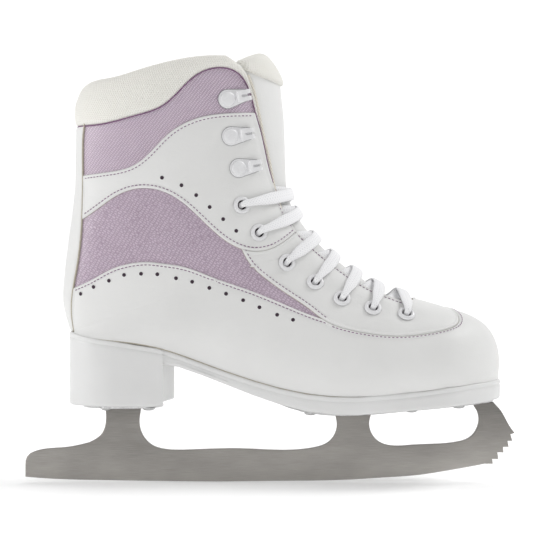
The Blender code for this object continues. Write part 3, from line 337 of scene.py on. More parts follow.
def section(t, depth):
    """A section line, depth inside the outer surface: its ends seen from the side, its greatest
    half-width, the fullness of its curve and the angle that the curve starts at."""
    t, depth = np.broadcast_arrays(np.asarray(t, float), np.asarray(depth, float))
    on_sole = t > HEEL_STATION
    seam = back_seam(np.minimum(t, HEEL_STATION))
    share = np.minimum(t, HEEL_STATION) / HEEL_STATION
    drop = (sole_top(BOOT_HEEL_X + depth) - sole_top(BOOT_HEEL_X)) * share**4
    x = sole_station(np.maximum(t, HEEL_STATION))
    x_in = BOOT_HEEL_X + depth + (x - BOOT_HEEL_X) * (1 - 2 * depth / (BOOT_TOE_X - BOOT_HEEL_X))
    back = np.stack([
        np.where(on_sole, x_in, seam[..., 0] + depth), np.where(on_sole, sole_top(x_in), seam[..., 1] + drop)
    ], axis=-1)
    run = front_line(t + 0.05) - front_line(t - 0.05)
    run /= np.linalg.norm(run, axis=-1)[..., None]
    front = front_line(t) + depth[..., None] * np.stack([run[..., 1], -run[..., 0]], axis=-1)
    toe = np.where(on_sole, rounding(BOOT_TOE_X - x, TOE_ROUND), 1)
    heel = rounding(x - BOOT_HEEL_X, HEEL_ROUND)
    wide = (half_width(t) - depth) * toe
    edge = np.minimum((sole_half_width(x) - depth) * toe * heel, 0.97 * wide)
    full = fullness(t)
    start = np.arcsin(np.clip((edge / np.maximum(wide, 1e-9)) ** (1 / full), 0, 1)) * on_sole
    return back, front, wide, full, start


def boot_point(t, s, side, depth):
    """A point of the boot, depth inside its outer surface.

    t is the section, from the collar (0) round the heel to the toe (24); s runs along the
    section, from the back seam or the sole's edge (0) to the front or the top (1).
    """
    t, s, side, depth = np.broadcast_arrays(*(np.asarray(one, float) for one in (t, s, side, depth)))
    back, front, wide, full, start = section(t, depth)
    angle = start + s * (math.pi - start)
    up = ((np.cos(start) - np.cos(angle)) / (1 + np.cos(start)))[..., None]
    seen = back + up * (front - back)
    out = side * wide * np.clip(np.sin(angle), 0, 1) ** full
    return np.stack([seen[..., 0], out + middle_y(t), seen[..., 1]], axis=-1)


def on_side(points):
    """(t, s) of places given as seen from the side, found along the sections."""
    grid = np.linspace(0, LAST_STATION, 1201)
    back, front, _, _, start = section(grid, 0.0)
    along = front - back
    span = np.maximum((along**2).sum(axis=1), 1e-9)
    places = []
    for point in np.asarray(points, float):
        off = point - back
        turn = along[:, 0] * off[:, 1] - along[:, 1] * off[:, 0]
        share = (along * off).sum(axis=1) / span
        change = np.where((turn[:-1] > 0) != (turn[1:] > 0))[0]
        i = change[int(np.argmin(np.abs(share[change] - 0.5)))]
        f = turn[i] / (turn[i] - turn[i + 1])
        up = float(np.clip(share[i] + f * (share[i + 1] - share[i]), 0, 1))
        begin = start[i] + f * (start[i + 1] - start[i])
        angle = math.acos(math.cos(begin) - up * (1 + math.cos(begin)))
        places.append((grid[i] + f * (grid[i + 1] - grid[i]), (angle - begin) / (math.pi - begin)))
    return np.array(places)


# Three ways to lay the surface flat as (t, v): one side only, or both sides joined along the
# front line or along the back seam, with v negative on the lateral side.


def lay_side(side):
    def place(t, v, depth):
        return boot_point(t, v, side, depth)

    return place


def lay_front(t, v, depth):
    v = np.asarray(v, float)
    return boot_point(t, 1 - np.abs(v), np.where(v < 0, LATERAL, MEDIAL), depth)


def lay_back(t, v, depth):
    v = np.asarray(v, float)
    return boot_point(t, np.abs(v), np.where(v < 0, LATERAL, MEDIAL), depth)


def shrunk(outline, distance):
    """A closed outline moved inwards."""
    before = outline - np.roll(outline, 1, axis=0)
    after = np.roll(outline, -1, axis=0) - outline
    area = (outline[:, 0] * np.roll(outline[:, 1], -1) - outline[:, 1] * np.roll(outline[:, 0], -1)).sum()
    normals = []
    for edge in (before, after):
        edge = unit(edge)
        normals.append(np.sign(area) * np.stack([-edge[:, 1], edge[:, 0]], axis=1))
    middle = normals[0] + normals[1]
    return outline + distance * 2 * middle / np.maximum((middle**2).sum(axis=1), 0.5)[:, None]


# How far apart the points of a seam are.
SEAM_SPACING = 1.6


def seam_line(points, spacing=SEAM_SPACING):
    return smooth_line(points, spacing)


def facing_edge():
    """The front edge of the quarter: the collar's seam, then the open throat."""
    return seam_line((*COLLAR_SEAM[:-1], *THROAT_EDGE[8:]))


def skin_frame(t, s, side, depth=0.0):
    """A point of the skin, the directions along the sections' order, up the section, and out."""
    step = 0.01
    along = boot_point(t + step, s, side, depth) - boot_point(t - step, s, side, depth)
    up = boot_point(t, s + step, side, depth) - boot_point(t, s - step, side, depth)
    out = np.cross(along, up)
    out /= np.linalg.norm(out)
    outward = boot_point(t, s, side, depth) - boot_point(t, s, side, depth + 1)
    out *= np.sign(out @ outward)
    along /= np.linalg.norm(along)
    return boot_point(t, s, side, depth), along, np.cross(out, along), out


def both_sides(lateral, medial, joint):
    """One outline from its lateral and its medial run; joint is s where the two meet."""
    halves = []
    for run, sign in ((lateral, LATERAL), (medial, MEDIAL)):
        reach = np.abs(run[:, 1] - joint)
        halves.append(np.stack([run[:, 0], sign * reach], axis=1))
    outline = np.concatenate([halves[0], halves[1][::-1]])
    apart = np.linalg.norm(outline - np.roll(outline, 1, axis=0), axis=1)
    return outline[apart > 1e-6]


def chain(*lines):
    """Lines that each cross the next, trimmed there to one open run."""
    starts = [0.0] * len(lines)
    stops = [len(line) - 1.0 for line in lines]
    for i in range(len(lines) - 1):
        stops[i], starts[i + 1] = crossing(lines[i], lines[i + 1])
    runs = [stretch(*one) for one in zip(lines, starts, stops)]
    return np.concatenate([runs[0], *[run[1:] for run in runs[1:]]])


def throat_reach(back_off, spacing):
    """s of the throat's edge, moved back from the opening, as a function of t."""
    line = on_side(shifted(seam_line(THROAT_EDGE, spacing), -back_off)[2:-3])
    order = np.argsort(line[:, 0])
    t, s = line[order].T
    return lambda row: float(np.interp(row, [*t, t[-1] + 1.2], [*s, 1.0]))


def foot_outline(depth):
    """The sole's edge from above, depth inside the boot, as one closed outline in X and Y."""
    steps = np.array([HEEL_STATION, *ROWS, LAST_STATION])
    lateral = boot_point(steps, 0.0, LATERAL, depth)[:, :2]
    medial = boot_point(steps, 0.0, MEDIAL, depth)[:, :2]
    outline = np.concatenate([lateral, medial[::-1]])
    apart = np.linalg.norm(outline - np.roll(outline, 1, axis=0), axis=1)
    return outline[apart > 0.05]


HEEL_SCREWS = [(x, y) for x in (-97.0, -72.0) for y in (-11.0, 11.0)]
SOLE_SCREWS = [(x, y) for x in (24.0, 84.0, 112.0) for y in (-11.5, 11.5)]
SCREW_HEAD = 3.7
heel_plate_half = spline((-112, -104, -85, -64), (14, 18, 19, 16))
sole_plate_half = spline((5, 30, 70, 105, 134), (13, 19, 20.5, 18.5, 10))


def heel_plate_top(x):
    return np.full(np.shape(x), HEEL_BOTTOM_Z - GAP)


def sole_plate_top(x):
    return sole_bottom(x) - GAP


def plate_under(x):
    top = heel_plate_top(x) if x < 0 else sole_plate_top(x)
    return (x, float(top) - PLATE_THICKNESS - GAP)


PAD_END, TONGUE_TOP = 0.95, 0.12
PAD_SEAM = PAD_END - 0.28
PAD_BOW = 0.4
TONGUE_LEAN = 13.0
throat_v = throat_reach(0.0, 5.0)


def lay_tongue(t, v, depth):
    """The front of the boot, leaning back at the very top."""
    points = lay_front(t, v, depth)
    points[..., 0] -= TONGUE_LEAN * np.clip((1.2 - np.asarray(t, float)) / 1.2, 0, 1) ** 2
    return points


def tongue_half(t, clear):
    """Half the tongue's width in v, clear of the throat's edge by this much."""
    return 1 - throat_v(max(t, 1.3)) - clear


def tongue_outer(t, v):
    """The tongue's front: it crowns between the facings and lies under them at its edges."""
    t, v = np.asarray(t, float), np.abs(np.asarray(v, float))
    reach = np.array([tongue_half(one, 0.0) for one in t])
    crown = np.clip(1 - v / np.maximum(reach, 0.02), 0, 1) ** 0.7
    tail = np.clip((16.6 - t) / 2.2, 0, 1)
    return TONGUE_SIDE_DEPTH - 4.4 * crown * tail


# The lace going through an eyelet, from inside to outside, as (depth, squeeze).
THROUGH_EYELET = ((LACE_UNDER, 0.8), (1.8, 1.0), (0.2, 1.0), (-1.8, 1.0), (-2.6, 0.9))


def lace_run(places, first_side):
    """The lace from the middle of the bottom bar up one zigzag, as (t, v, depth, squeeze).

    It comes up through each eyelet, crosses over the tongue and goes under the far facing.
    """
    run = []
    side = first_side
    for number, (t, s) in enumerate(places):
        v = side * (1 - s)
        run += [(t, v, depth, squeeze) for depth, squeeze in THROUGH_EYELET]
        last = number + 1 == len(places)
        t2, s2 = (t - 0.85, s - 0.02) if last else places[number + 1]
        v2 = -side * (1 - s2)
        edge, edge2 = 1 - throat_v(t), 1 - throat_v(t2)
        level = -1.1 if (number + (first_side > 0)) % 2 else -2.8
        level += 0.7 * (number < 2)

        def at(v_now, depth, squeeze=0.0, t=t, v=v, t2=t2, v2=v2):
            return (t + (t2 - t) * (v_now - v) / (v2 - v), v_now, depth, squeeze)

        run += [at(v + (v2 - v) * 0.06, LACE_OVER - 0.5, 0.7), at(v + (v2 - v) * 0.15, LACE_OVER - 0.2)]
        run += [at(side * edge, LACE_OVER), at(side * edge * 0.5, min(LACE_OVER, level))]
        run += [at(0.0, level), at(-side * edge2 * 0.45, on_tongue(t2, edge2 * 0.45))]
        run += [at(-side * edge2 * 0.8, on_tongue(t2, edge2 * 0.8)), at(-side * edge2, LACE_UNDER)]
        run.append(at(v + (v2 - v) * 0.93, LACE_UNDER, 0.4))
        if last:
            run.append((t2, v2, LACE_UNDER, 0.0))
        side = -side
    return run


def on_tongue(t, v):
    """The depth at which the lace lies on the tongue."""
    return float(tongue_outer([t], [v])[0]) - LACE_ON_TONGUE


def corners_cut(points, times):
    """A polyline with its corners cut this many times, which never swings past its points."""
    for _ in range(times):
        near = 0.75 * points[:-1] + 0.25 * points[1:]
        far = 0.25 * points[:-1] + 0.75 * points[1:]
        between = np.stack([near, far], axis=1).reshape(-1, points.shape[1])
        points = np.concatenate([points[:1], between[1:-1], points[-1:]])
    return points


def evenly(points, count, closeness):
    """A polyline's places at even distances, and nearer together where closeness is higher."""
    steps = np.linalg.norm(np.diff(points[:, :3], axis=0), axis=1) * (closeness[1:] + closeness[:-1]) / 2
    length = np.concatenate([[0], np.cumsum(steps)])
    at = np.linspace(0, length[-1], count)
    return np.stack([np.interp(at, length, column) for column in points.T], axis=1)


# --- Camera, floor and light --------------------------------------------------------------


# In metres, looking level along +Y.
CAMERA_PLACE = (-0.0021, -1.05, 0.1291)
# Each lamp's name, place and size in metres, and power in watts.
LAMPS = (
    ("key", (-0.4, -1.5, 1.0), 1.0, 3.4),
    ("left", (-1.4, -0.15, 0.55), 0.7, 6.2),
    ("right", (1.1, 0.1, 1.3), 0.8, 11.0),
    ("backdrop", (0.0, 1.5, 2.2), 1.6, 14.0),
)


def make_stage():
    lens = bpy.data.cameras.new("camera")
    lens.lens, lens.sensor_width = 118.0, 36.0
    camera = bpy.data.objects.new("camera", lens)
    camera.location = CAMERA_PLACE
    camera.rotation_euler = (math.radians(90), 0, 0)
    bpy.context.scene.collection.objects.link(camera)
    bpy.context.scene.camera = camera

    bend = [(1.6 + 0.9 * math.sin(a), 0.9 - 0.9 * math.cos(a)) for a in np.radians(np.arange(0, 91, 7.5))]
    line = [(-4.0, 0.0), (0.0, 0.0), *bend, (2.5, 5.0)]
    points = [(x, y, z - 0.0004) for y, z in line for x in (-5.0, 5.0)]
    faces = [(2 * i, 2 * i + 1, 2 * i + 3, 2 * i + 2) for i in range(len(line) - 1)]
    mesh = bpy.data.meshes.new("floor")
    mesh.from_pydata(points, [], faces)
    mesh.shade_smooth()
    floor = bpy.data.objects.new("floor", mesh)
    bpy.context.scene.collection.objects.link(floor)
    finish, shader, _ = new_material("floor_paper", (0.93, 0.93, 0.93), 0.9)
    shader.inputs["Specular IOR Level"].default_value = 0.1
    shader.inputs["Emission Color"].default_value = (1, 1, 1, 1)
    shader.inputs["Emission Strength"].default_value = 0.2
    mesh.materials.append(finish)

    world = bpy.data.worlds.new("studio")
    bpy.context.scene.world = world
    world.use_nodes = True
    world.node_tree.nodes["Background"].inputs["Color"].default_value = (1.0, 1.0, 1.0, 1)
    world.node_tree.nodes["Background"].inputs["Strength"].default_value = 0.46
    for name, place, size, power in LAMPS:
        light = bpy.data.lights.new(name, "AREA")
        light.shape, light.size, light.energy = "DISK", size, power
        lamp = bpy.data.objects.new(name, light)
        lamp.location = place
        aim = Vector((0, 2.7, 0.5)) if name == "backdrop" else Vector((0, 0, 0.12))
        lamp.rotation_euler = (aim - Vector(place)).to_track_quat("-Z", "Y").to_euler()
        bpy.context.scene.collection.objects.link(lamp)
    bpy.context.scene.view_settings.view_transform = "Standard"


# --- Materials ----------------------------------------------------------------------------


def new_material(name, colour, roughness, metallic=0.0):
    made = bpy.data.materials.new(name)
    made.use_nodes = True
    shader = made.node_tree.nodes["Principled BSDF"]
    shader.inputs["Base Color"].default_value = (*colour, 1)
    shader.inputs["Roughness"].default_value = roughness
    shader.inputs["Metallic"].default_value = metallic
    return made, shader, made.node_tree


class Graph:
    """A material's node tree, with short calls for the nodes that the finishes share."""

    def __init__(self, tree, shader):
        self.tree, self.shader = tree, shader
        self.coords = tree.nodes.new("ShaderNodeTexCoord")

    def node(self, kind, **inputs):
        made = self.tree.nodes.new(kind)
        for key, value in inputs.items():
            spot = made.inputs[int(key[1:])] if key[0] == "i" and key[1:].isdigit() else made.inputs[key]
            if hasattr(value, "is_output"):
                self.tree.links.new(value, spot)
            else:
                spot.default_value = value
        return made

    def placed(self, source="Object", scale=(1, 1, 1), rotation=(0, 0, 0)):
        return self.node(
            "ShaderNodeMapping", Vector=self.coords.outputs[source], Scale=scale, Rotation=rotation
        ).outputs[0]

    def noise(self, vector, scale, detail=3.0, roughness=0.55):
        made = self.node("ShaderNodeTexNoise", Vector=vector, Scale=scale, Detail=detail, Roughness=roughness)
        return made.outputs["Fac"]

    def cells(self, vector, scale, feature="F1", randomness=1.0):
        made = self.node("ShaderNodeTexVoronoi", Vector=vector, Scale=scale, Randomness=randomness)
        made.feature = feature
        return made.outputs["Distance"]

    def crossed(self, angle, scale):
        """Two sets of bands on the cloth, turned this many degrees to either side."""
        sets = []
        for turn in (angle, -angle):
            placed = self.placed("UV", rotation=(0, 0, math.radians(turn)))
            bands = self.node("ShaderNodeTexWave", Vector=placed, Scale=scale, Distortion=0.0)
            sets.append(bands.outputs["Fac"])
        return sets

    def math(self, operation, a, b=0.0):
        made = self.node("ShaderNodeMath", i0=a, i1=b)
        made.operation = operation
        return made.outputs[0]

    def ramp(self, value, *stops):
        made = self.node("ShaderNodeValToRGB", Fac=value)
        ramp = made.color_ramp
        while len(ramp.elements) < len(stops):
            ramp.elements.new(0.5)
        for element, (place, colour) in zip(ramp.elements, stops):
            element.position = place
            element.color = (*colour, 1) if hasattr(colour, "__len__") else (colour, colour, colour, 1)
        return made.outputs["Color"]

    def paint(self, colour):
        self.tree.links.new(colour, self.shader.inputs["Base Color"])

    def rough(self, value):
        self.tree.links.new(value, self.shader.inputs["Roughness"])

    def bump(self, *layers):
        """Layers of (height, strength, distance in metres), one on top of the other."""
        normal = None
        for height, strength, distance in layers:
            made = self.node("ShaderNodeBump", Height=height, Strength=strength, Distance=distance)
            if normal is not None:
                self.tree.links.new(normal, made.inputs["Normal"])
            normal = made.outputs["Normal"]
        self.tree.links.new(normal, self.shader.inputs["Normal"])


def leather(name, light, dark, grain=0.35):
    """Smooth coated leather: a fine pebble, faint creases and a slightly uneven tone."""
    made, shader, tree = new_material(name, light, 0.42)
    g = Graph(tree, shader)
    spot = g.placed()
    pebble = g.cells(spot, 1100.0, "SMOOTH_F1")
    crease = g.noise(g.placed(scale=(1, 1, 2.2)), 90.0, 4.0, 0.6)
    g.paint(g.ramp(g.noise(spot, 22.0, 4.0), (0.3, dark), (0.7, light)))
    g.rough(g.ramp(g.noise(spot, 140.0, 3.0), (0.3, 0.46), (0.7, 0.6)))
    g.bump((crease, 0.12, 0.0012), (pebble, grain, 0.00012))
    shader.inputs["Coat Weight"].default_value = 0.04
    shader.inputs["Coat Roughness"].default_value = 0.35
    return made


def beads(name, light, dark, size, stretch_by, angle, randomness, depth):
    """Raised beads on a slanting lattice, like a woven or embossed cloth. The size is in metres."""
    made, shader, tree = new_material(name, light, 0.55)
    g = Graph(tree, shader)
    turned_uv = g.placed("UV", rotation=(0, 0, math.radians(angle)))
    drawn = g.node("ShaderNodeMapping", Vector=turned_uv, Scale=(1 / stretch_by, 1.0, 1.0)).outputs[0]
    edge = g.cells(drawn, 1 / size, "DISTANCE_TO_EDGE", randomness)
    bead = g.math("MINIMUM", g.math("MULTIPLY", edge, 4.0), 1.0)
    blotch = g.math("MULTIPLY", g.noise(g.placed(), 60.0, 4.0), 0.3)
    tone = g.math("ADD", g.math("MULTIPLY", bead, 0.6), blotch)
    g.paint(g.ramp(tone, (0.1, dark), (0.75, light)))
    g.rough(g.ramp(bead, (0.0, 0.8), (1.0, 0.42)))
    g.bump((bead, 0.85, depth))
    shader.inputs["Coat Weight"].default_value = 0.7
    shader.inputs["Coat Roughness"].default_value = 0.42
    shader.inputs["Sheen Weight"].default_value = 0.4
    shader.inputs["Sheen Roughness"].default_value = 0.4
    return made


def mesh_cloth(name, light, dark, pitch):
    """Spacer mesh: rows of small round holes in a pale cloth."""
    made, shader, tree = new_material(name, light, 0.85)
    g = Graph(tree, shader)
    holes = g.math("MULTIPLY", *g.crossed(32.0, math.pi / 10 / pitch))
    thread = g.noise(g.placed("UV"), 4200.0, 2.0)
    g.paint(g.ramp(g.math("ADD", holes, g.math("MULTIPLY", thread, 0.15)), (0.12, light), (0.95, dark)))
    g.bump((g.math("SUBTRACT", 1.0, holes), 0.7, 0.0004), (thread, 0.3, 0.0001))
    shader.inputs["Sheen Weight"].default_value = 0.3
    return made


def steel(name, colour, roughness, stretch):
    """Ground steel: fine scratches along one direction, and painted shade that darkens it towards the top."""
    made, shader, tree = new_material(name, colour, roughness, 1.0)
    g = Graph(tree, shader)
    scratch = g.noise(g.placed(scale=stretch), 260.0, 5.0, 0.7)
    broad = g.noise(g.placed(scale=(1, 1, 2.5)), 14.0, 3.0)
    low, high = [tuple(c * share for c in colour) for share in (0.6, 1.35)]
    tone = g.math("ADD", g.math("MULTIPLY", scratch, 0.5), g.math("MULTIPLY", broad, 0.5))
    # Painted shade: the colour darkens towards the top, where the sole above shades the stanchions and
    # plates.
    height = g.node("ShaderNodeSeparateXYZ", Vector=g.coords.outputs["Object"]).outputs["Z"]
    tone = g.math("SUBTRACT", tone, g.math("MULTIPLY", g.math("SUBTRACT", height, 0.018), 5.0))
    g.paint(g.ramp(tone, (0.3, low), (0.7, high)))
    g.rough(g.ramp(scratch, (0.3, roughness - 0.08), (0.7, roughness + 0.1)))
    g.bump((scratch, 0.25, 0.00008))
    return made


def plastic(name, light, dark, roughness, grain, size):
    """Moulded plastic or enamel with a faint grain."""
    made, shader, tree = new_material(name, light, roughness)
    g = Graph(tree, shader)
    spot = g.placed()
    g.paint(g.ramp(g.noise(spot, 30.0, 3.0), (0.3, dark), (0.7, light)))
    g.rough(g.ramp(g.noise(spot, 200.0, 2.0), (0.3, roughness - 0.06), (0.7, roughness + 0.08)))
    g.bump((g.noise(spot, size, 3.0), grain, 0.00008))
    return made


def ribbed(name, light, dark):
    """Flat woven lace: a herringbone of fine threads along the lace's own length."""
    made, shader, tree = new_material(name, light, 0.8)
    g = Graph(tree, shader)
    cloth = g.math("MAXIMUM", *g.crossed(48.0, 250.0))
    fluff = g.math("MULTIPLY", g.noise(g.placed(), 300.0), 0.2)
    g.paint(g.ramp(g.math("ADD", cloth, fluff), (0.2, dark), (0.9, light)))
    g.bump((cloth, 0.5, 0.00015))
    shader.inputs["Sheen Weight"].default_value = 0.3
    return made


def plain(name, colour, roughness, metallic=0.0):
    """Thread, raw edges, and the dark marks of painted shade in holes, round the hooks and above the sole:
    small things that still vary a little in tone.
    """
    made, shader, tree = new_material(name, colour, roughness, metallic)
    g = Graph(tree, shader)
    low = tuple(c * 0.8 for c in colour)
    g.paint(g.ramp(g.noise(g.placed(), 900.0, 2.0), (0.3, low), (0.7, colour)))
    g.bump((g.noise(g.placed(), 2500.0, 2.0), 0.3, 0.00005))
    return made


def make_materials():
    return {
        "white_leather": leather("white_leather", (0.775, 0.775, 0.765), (0.735, 0.735, 0.725)),
        "lavender_fabric": beads(
            "lavender_fabric", (0.67, 0.56, 0.66), (0.37, 0.27, 0.36), 0.00105, 1.5, 38.0, 0.3, 0.0003,
        ),
        "lavender_grain": beads(
            "lavender_grain", (0.59, 0.48, 0.58), (0.35, 0.26, 0.34), 0.0012, 1.8, 32.0, 0.45, 0.0003,
        ),
        "cream_mesh": mesh_cloth("cream_mesh", (0.86, 0.85, 0.80), (0.74, 0.72, 0.66), 0.0012),
        "lining_cloth": mesh_cloth("lining_cloth", (0.80, 0.79, 0.76), (0.60, 0.59, 0.56), 0.0013),
        "sole_white": plastic("sole_white", (0.75, 0.75, 0.745), (0.71, 0.71, 0.705), 0.42, 0.25, 900.0),
        "blade_steel": steel("blade_steel", (0.345, 0.33, 0.31), 0.36, (0.35, 8.0, 26.0)),
        "ground_steel": steel("ground_steel", (0.62, 0.62, 0.62), 0.2, (1.0, 30.0, 6.0)),
        "fastener_steel": steel("fastener_steel", (0.78, 0.78, 0.78), 0.3, (1.0, 1.0, 1.0)),
        "enamel_white": plastic("enamel_white", (0.78, 0.78, 0.79), (0.75, 0.75, 0.76), 0.25, 0.1, 500.0),
        "lace_cotton": ribbed("lace_cotton", (0.90, 0.90, 0.91), (0.74, 0.74, 0.76)),
        "footbed_foam": mesh_cloth("footbed_foam", (0.72, 0.70, 0.74), (0.52, 0.48, 0.55), 0.0012),
        "thread": plain("thread", (0.2, 0.075, 0.19), 0.7),
        "binding": mesh_cloth("binding", (0.74, 0.70, 0.62), (0.58, 0.54, 0.46), 0.0011),
        # The raw leather edges' colour, also used for the painted shade line above the sole.
        "raw_edge": plain("raw_edge", (0.55, 0.51, 0.42), 0.8),
        # Painted shadow: the grey of the thin ring round each hook's base.
        "hook_shadow": plain("hook_shadow", (0.36, 0.36, 0.37), 0.7),
        # Painted shade: a near-black finish for the insides of the eyelets and the punched holes.
        "recess": plain("recess", (0.05, 0.03, 0.045), 0.9),
    }


# --- Meshes -------------------------------------------------------------------------------


def piece(name, points, faces, finishes, body, slot, cad=(), uv=None, second=(), sharp=50.0):
    """A smooth shaded mesh that rides on a body. second lists the faces of the second finish."""
    finishes = [finishes] if isinstance(finishes, str) else finishes
    mesh = bpy.data.meshes.new(name)
    mesh.from_pydata((np.asarray(points, float) * MM).tolist(), [], [tuple(int(i) for i in f) for f in faces])
    for finish in finishes:
        mesh.materials.append(MATERIALS[finish])
    if len(second):
        index = np.zeros(len(mesh.polygons), np.int32)
        index[np.asarray(second)] = 1
        mesh.polygons.foreach_set("material_index", index)
    if uv is not None:
        layer = mesh.uv_layers.new(name="UVMap")
        corners = np.zeros(len(mesh.loops), np.int32)
        mesh.loops.foreach_get("vertex_index", corners)
        layer.data.foreach_set("uv", (np.asarray(uv, float)[corners] * MM).ravel())
    obj = bpy.data.objects.new(name, mesh)
    bpy.context.scene.collection.objects.link(obj)
    work = bmesh.new()
    work.from_mesh(mesh)
    bmesh.ops.remove_doubles(work, verts=work.verts, dist=1e-6)
    bmesh.ops.recalc_face_normals(work, faces=work.faces)
    work.to_mesh(mesh)
    work.free()
    mesh.shade_smooth()
    mesh.set_sharp_from_angle(angle=math.radians(sharp))
    if body:
        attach(obj, body)
    if cad:
        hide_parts(*cad)
    return obj


def inside_many(points, outline):
    """Which of the points are inside a closed outline."""
    a, b = outline, np.roll(outline, -1, axis=0)
    x, y = points[:, 0, None], points[:, 1, None]
    spans = (a[:, 1] > y) != (b[:, 1] > y)
    rise = np.where(a[:, 1] == b[:, 1], 1, b[:, 1] - a[:, 1])
    return (spans & (x < a[:, 0] + (b[:, 0] - a[:, 0]) * (y - a[:, 1]) / rise)).sum(axis=1) % 2 == 1


def nearest(points, rims):
    """Each point's distance to the nearest of the rims' points."""
    found = np.full(len(points), np.inf)
    for i in range(0, len(points), 2000):
        part = points[i : i + 2000, None] - rims[None]
        found[i : i + 2000] = np.sqrt((part**2).sum(axis=2).min(axis=1))
    return found


# About how many millimetres one step of t and one whole section are.
METRIC = np.array([15.0, 125.0])
# How far inside a panel's edge its extra rows of points lie.
EDGE_RINGS = (0.45, 1.1, 1.9, 2.7)
FRONT_RINGS = (0.45, 1.1, 1.9, 2.7, 3.6, 4.7)
PAD_RINGS = (0.3, 0.8, 1.6, 2.6)


def no_long_edges(loop, longest=2.2):
    """A closed outline with points added on its long edges."""
    points = []
    for start, stop in zip(loop, np.roll(loop, -1, axis=0)):
        count = max(1, math.ceil(np.linalg.norm(stop - start) / longest))
        points += [start + (stop - start) * i / count for i in range(count)]
    return np.array(points)


def fine_flat(outline, holes=(), step=2.6, rings=EDGE_RINGS, metric=METRIC):
    """(t, v) points and triangles that fill an outline, closer together along its edge."""
    loops = [no_long_edges(np.asarray(loop) * metric) for loop in (outline, *holes)]
    edges, start = [], 0
    for loop in loops:
        edges += [(start + i, start + (i + 1) % len(loop)) for i in range(len(loop))]
        start += len(loop)
    rims = np.concatenate([np.concatenate([loop, (loop + np.roll(loop, -1, axis=0)) / 2]) for loop in loops])
    low, high = loops[0].min(axis=0), loops[0].max(axis=0)
    across = np.arange(low[1] + step * 0.31, high[1], step * 0.87)
    grid = []
    for i, y in enumerate(across):
        x = np.arange(low[0] + (i % 2) * step / 2, high[0], step)
        grid.append(np.stack([x, np.full(len(x), y)], axis=1))
    grid = np.concatenate(grid)
    inner = [grid[nearest(grid, rims) > max(rings) + 0.5 * step]]
    for distance in rings:
        ring_points = shrunk(loops[0], distance)
        inner.append(ring_points[nearest(ring_points, rims) > 0.8 * distance])
    inner = np.concatenate(inner)
    good = inside_many(inner, loops[0])
    for hole in loops[1:]:
        good &= ~inside_many(inner, hole) & (nearest(inner, hole) > 1.0)
    points = np.concatenate([*loops, inner[good]])
    found, _, triangles, *_ = delaunay_2d_cdt([Vector(p) for p in points], edges, [], 0, 1e-6)
    found = np.array([tuple(p) for p in found])
    triangles = np.array([tuple(t) for t in triangles])
    middles = found[triangles].mean(axis=1)
    kept = inside_many(middles, loops[0])
    for hole in loops[1:]:
        kept &= ~inside_many(middles, hole)
    return found / metric, triangles[kept]


def rim_of(triangles):
    """The directed edges that only one triangle has."""
    edges = {(int(a), int(b)) for face in triangles for a, b in zip(face, np.roll(face, -1))}
    return [(a, b) for a, b in edges if (b, a) not in edges]


def along_rim(points, rim):
    """Points close together along the rim's edges."""
    first, second = points[[a for a, _ in rim]], points[[b for _, b in rim]]
    return np.concatenate([first + share * (second - first) for share in (0, 0.25, 0.5, 0.75)])


def panel(name, finish, body, slot, lay, outline, profile, cad, holes=(), depth=1.4, uv="side", **how):
    """A cut panel: its outer face follows profile(distance from the edge), and its edge goes down."""
    flat, faces = fine_flat(outline, holes, **how)
    t, v = flat.T
    rim = rim_of(faces)
    at_surface = lay(t, v, 0.0)
    away = nearest(at_surface, along_rim(at_surface, rim))
    away[[a for a, _ in rim]] = 0
    top = lay(t, v, profile(away, t, v))
    count = len(top)
    low = {a: count + i for i, a in enumerate({a for a, _ in rim} | {b for _, b in rim})}
    order = list(low)
    skirt = lay(t[order], v[order], depth)
    walls = [(b, a, low[a], low[b]) for a, b in rim]
    points = np.concatenate([top, skirt])
    flat_uv = surface_uv(lay, np.concatenate([t, t[order]]), np.concatenate([v, v[order]]), points, uv)
    faces = [*faces, *walls]
    second = range(len(faces) - len(walls), len(faces)) if len(np.atleast_1d(finish)) > 1 else ()
    return piece(name, points, faces, finish, body, slot, cad, flat_uv, second)


def surface_uv(lay, t, v, points, kind):
    """Places on the cloth in millimetres: seen from the side, or measured round the boot."""
    if kind == "side":
        return points[:, [0, 2]]
    share = np.linspace(0, 1, 9)
    along = np.stack([lay(t, v * one, np.zeros(len(t))) for one in share])
    around = np.linalg.norm(np.diff(along, axis=0), axis=2).sum(axis=0) * np.sign(v)
    return np.stack([around, points[:, 2]], axis=1)


def pillow(name, finish, body, slot, lay, outline, outer, inner, radius, cad, holes=(), uv="round", **how):
    """A padded piece: outer and inner faces that meet in a round edge of this radius."""
    flat, faces = fine_flat(outline, holes, **how)
    t, v = flat.T
    rim = rim_of(faces)
    order = sorted({i for edge in rim for i in edge})
    at_surface = lay(t, v, 0.0)
    away = nearest(at_surface, along_rim(at_surface, rim))
    away[order] = 0
    share = np.sqrt(1 - (1 - np.clip(away / radius, 0, 1)) ** 2)
    high, low = outer(away, t, v), inner(away, t, v)
    middle = (high + low) / 2
    layers = [lay(t, v, middle + (one - middle) * share) for one in (high, low)]
    points = np.concatenate(layers)
    count = len(t)
    faces = [*faces, *(faces[:, ::-1] + count)]
    flat_uv = surface_uv(lay, np.tile(t, 2), np.tile(v, 2), points, uv)
    made = piece(name, points, faces, finish, body, slot, cad, flat_uv, sharp=80.0)
    return made


def joined(parts):
    """Several (points, faces) as one."""
    points, faces, start = [], [], 0
    for one, sides in parts:
        points.append(np.asarray(one, float))
        faces += [tuple(i + start for i in face) for face in sides]
        start += len(one)
    return np.concatenate(points), faces


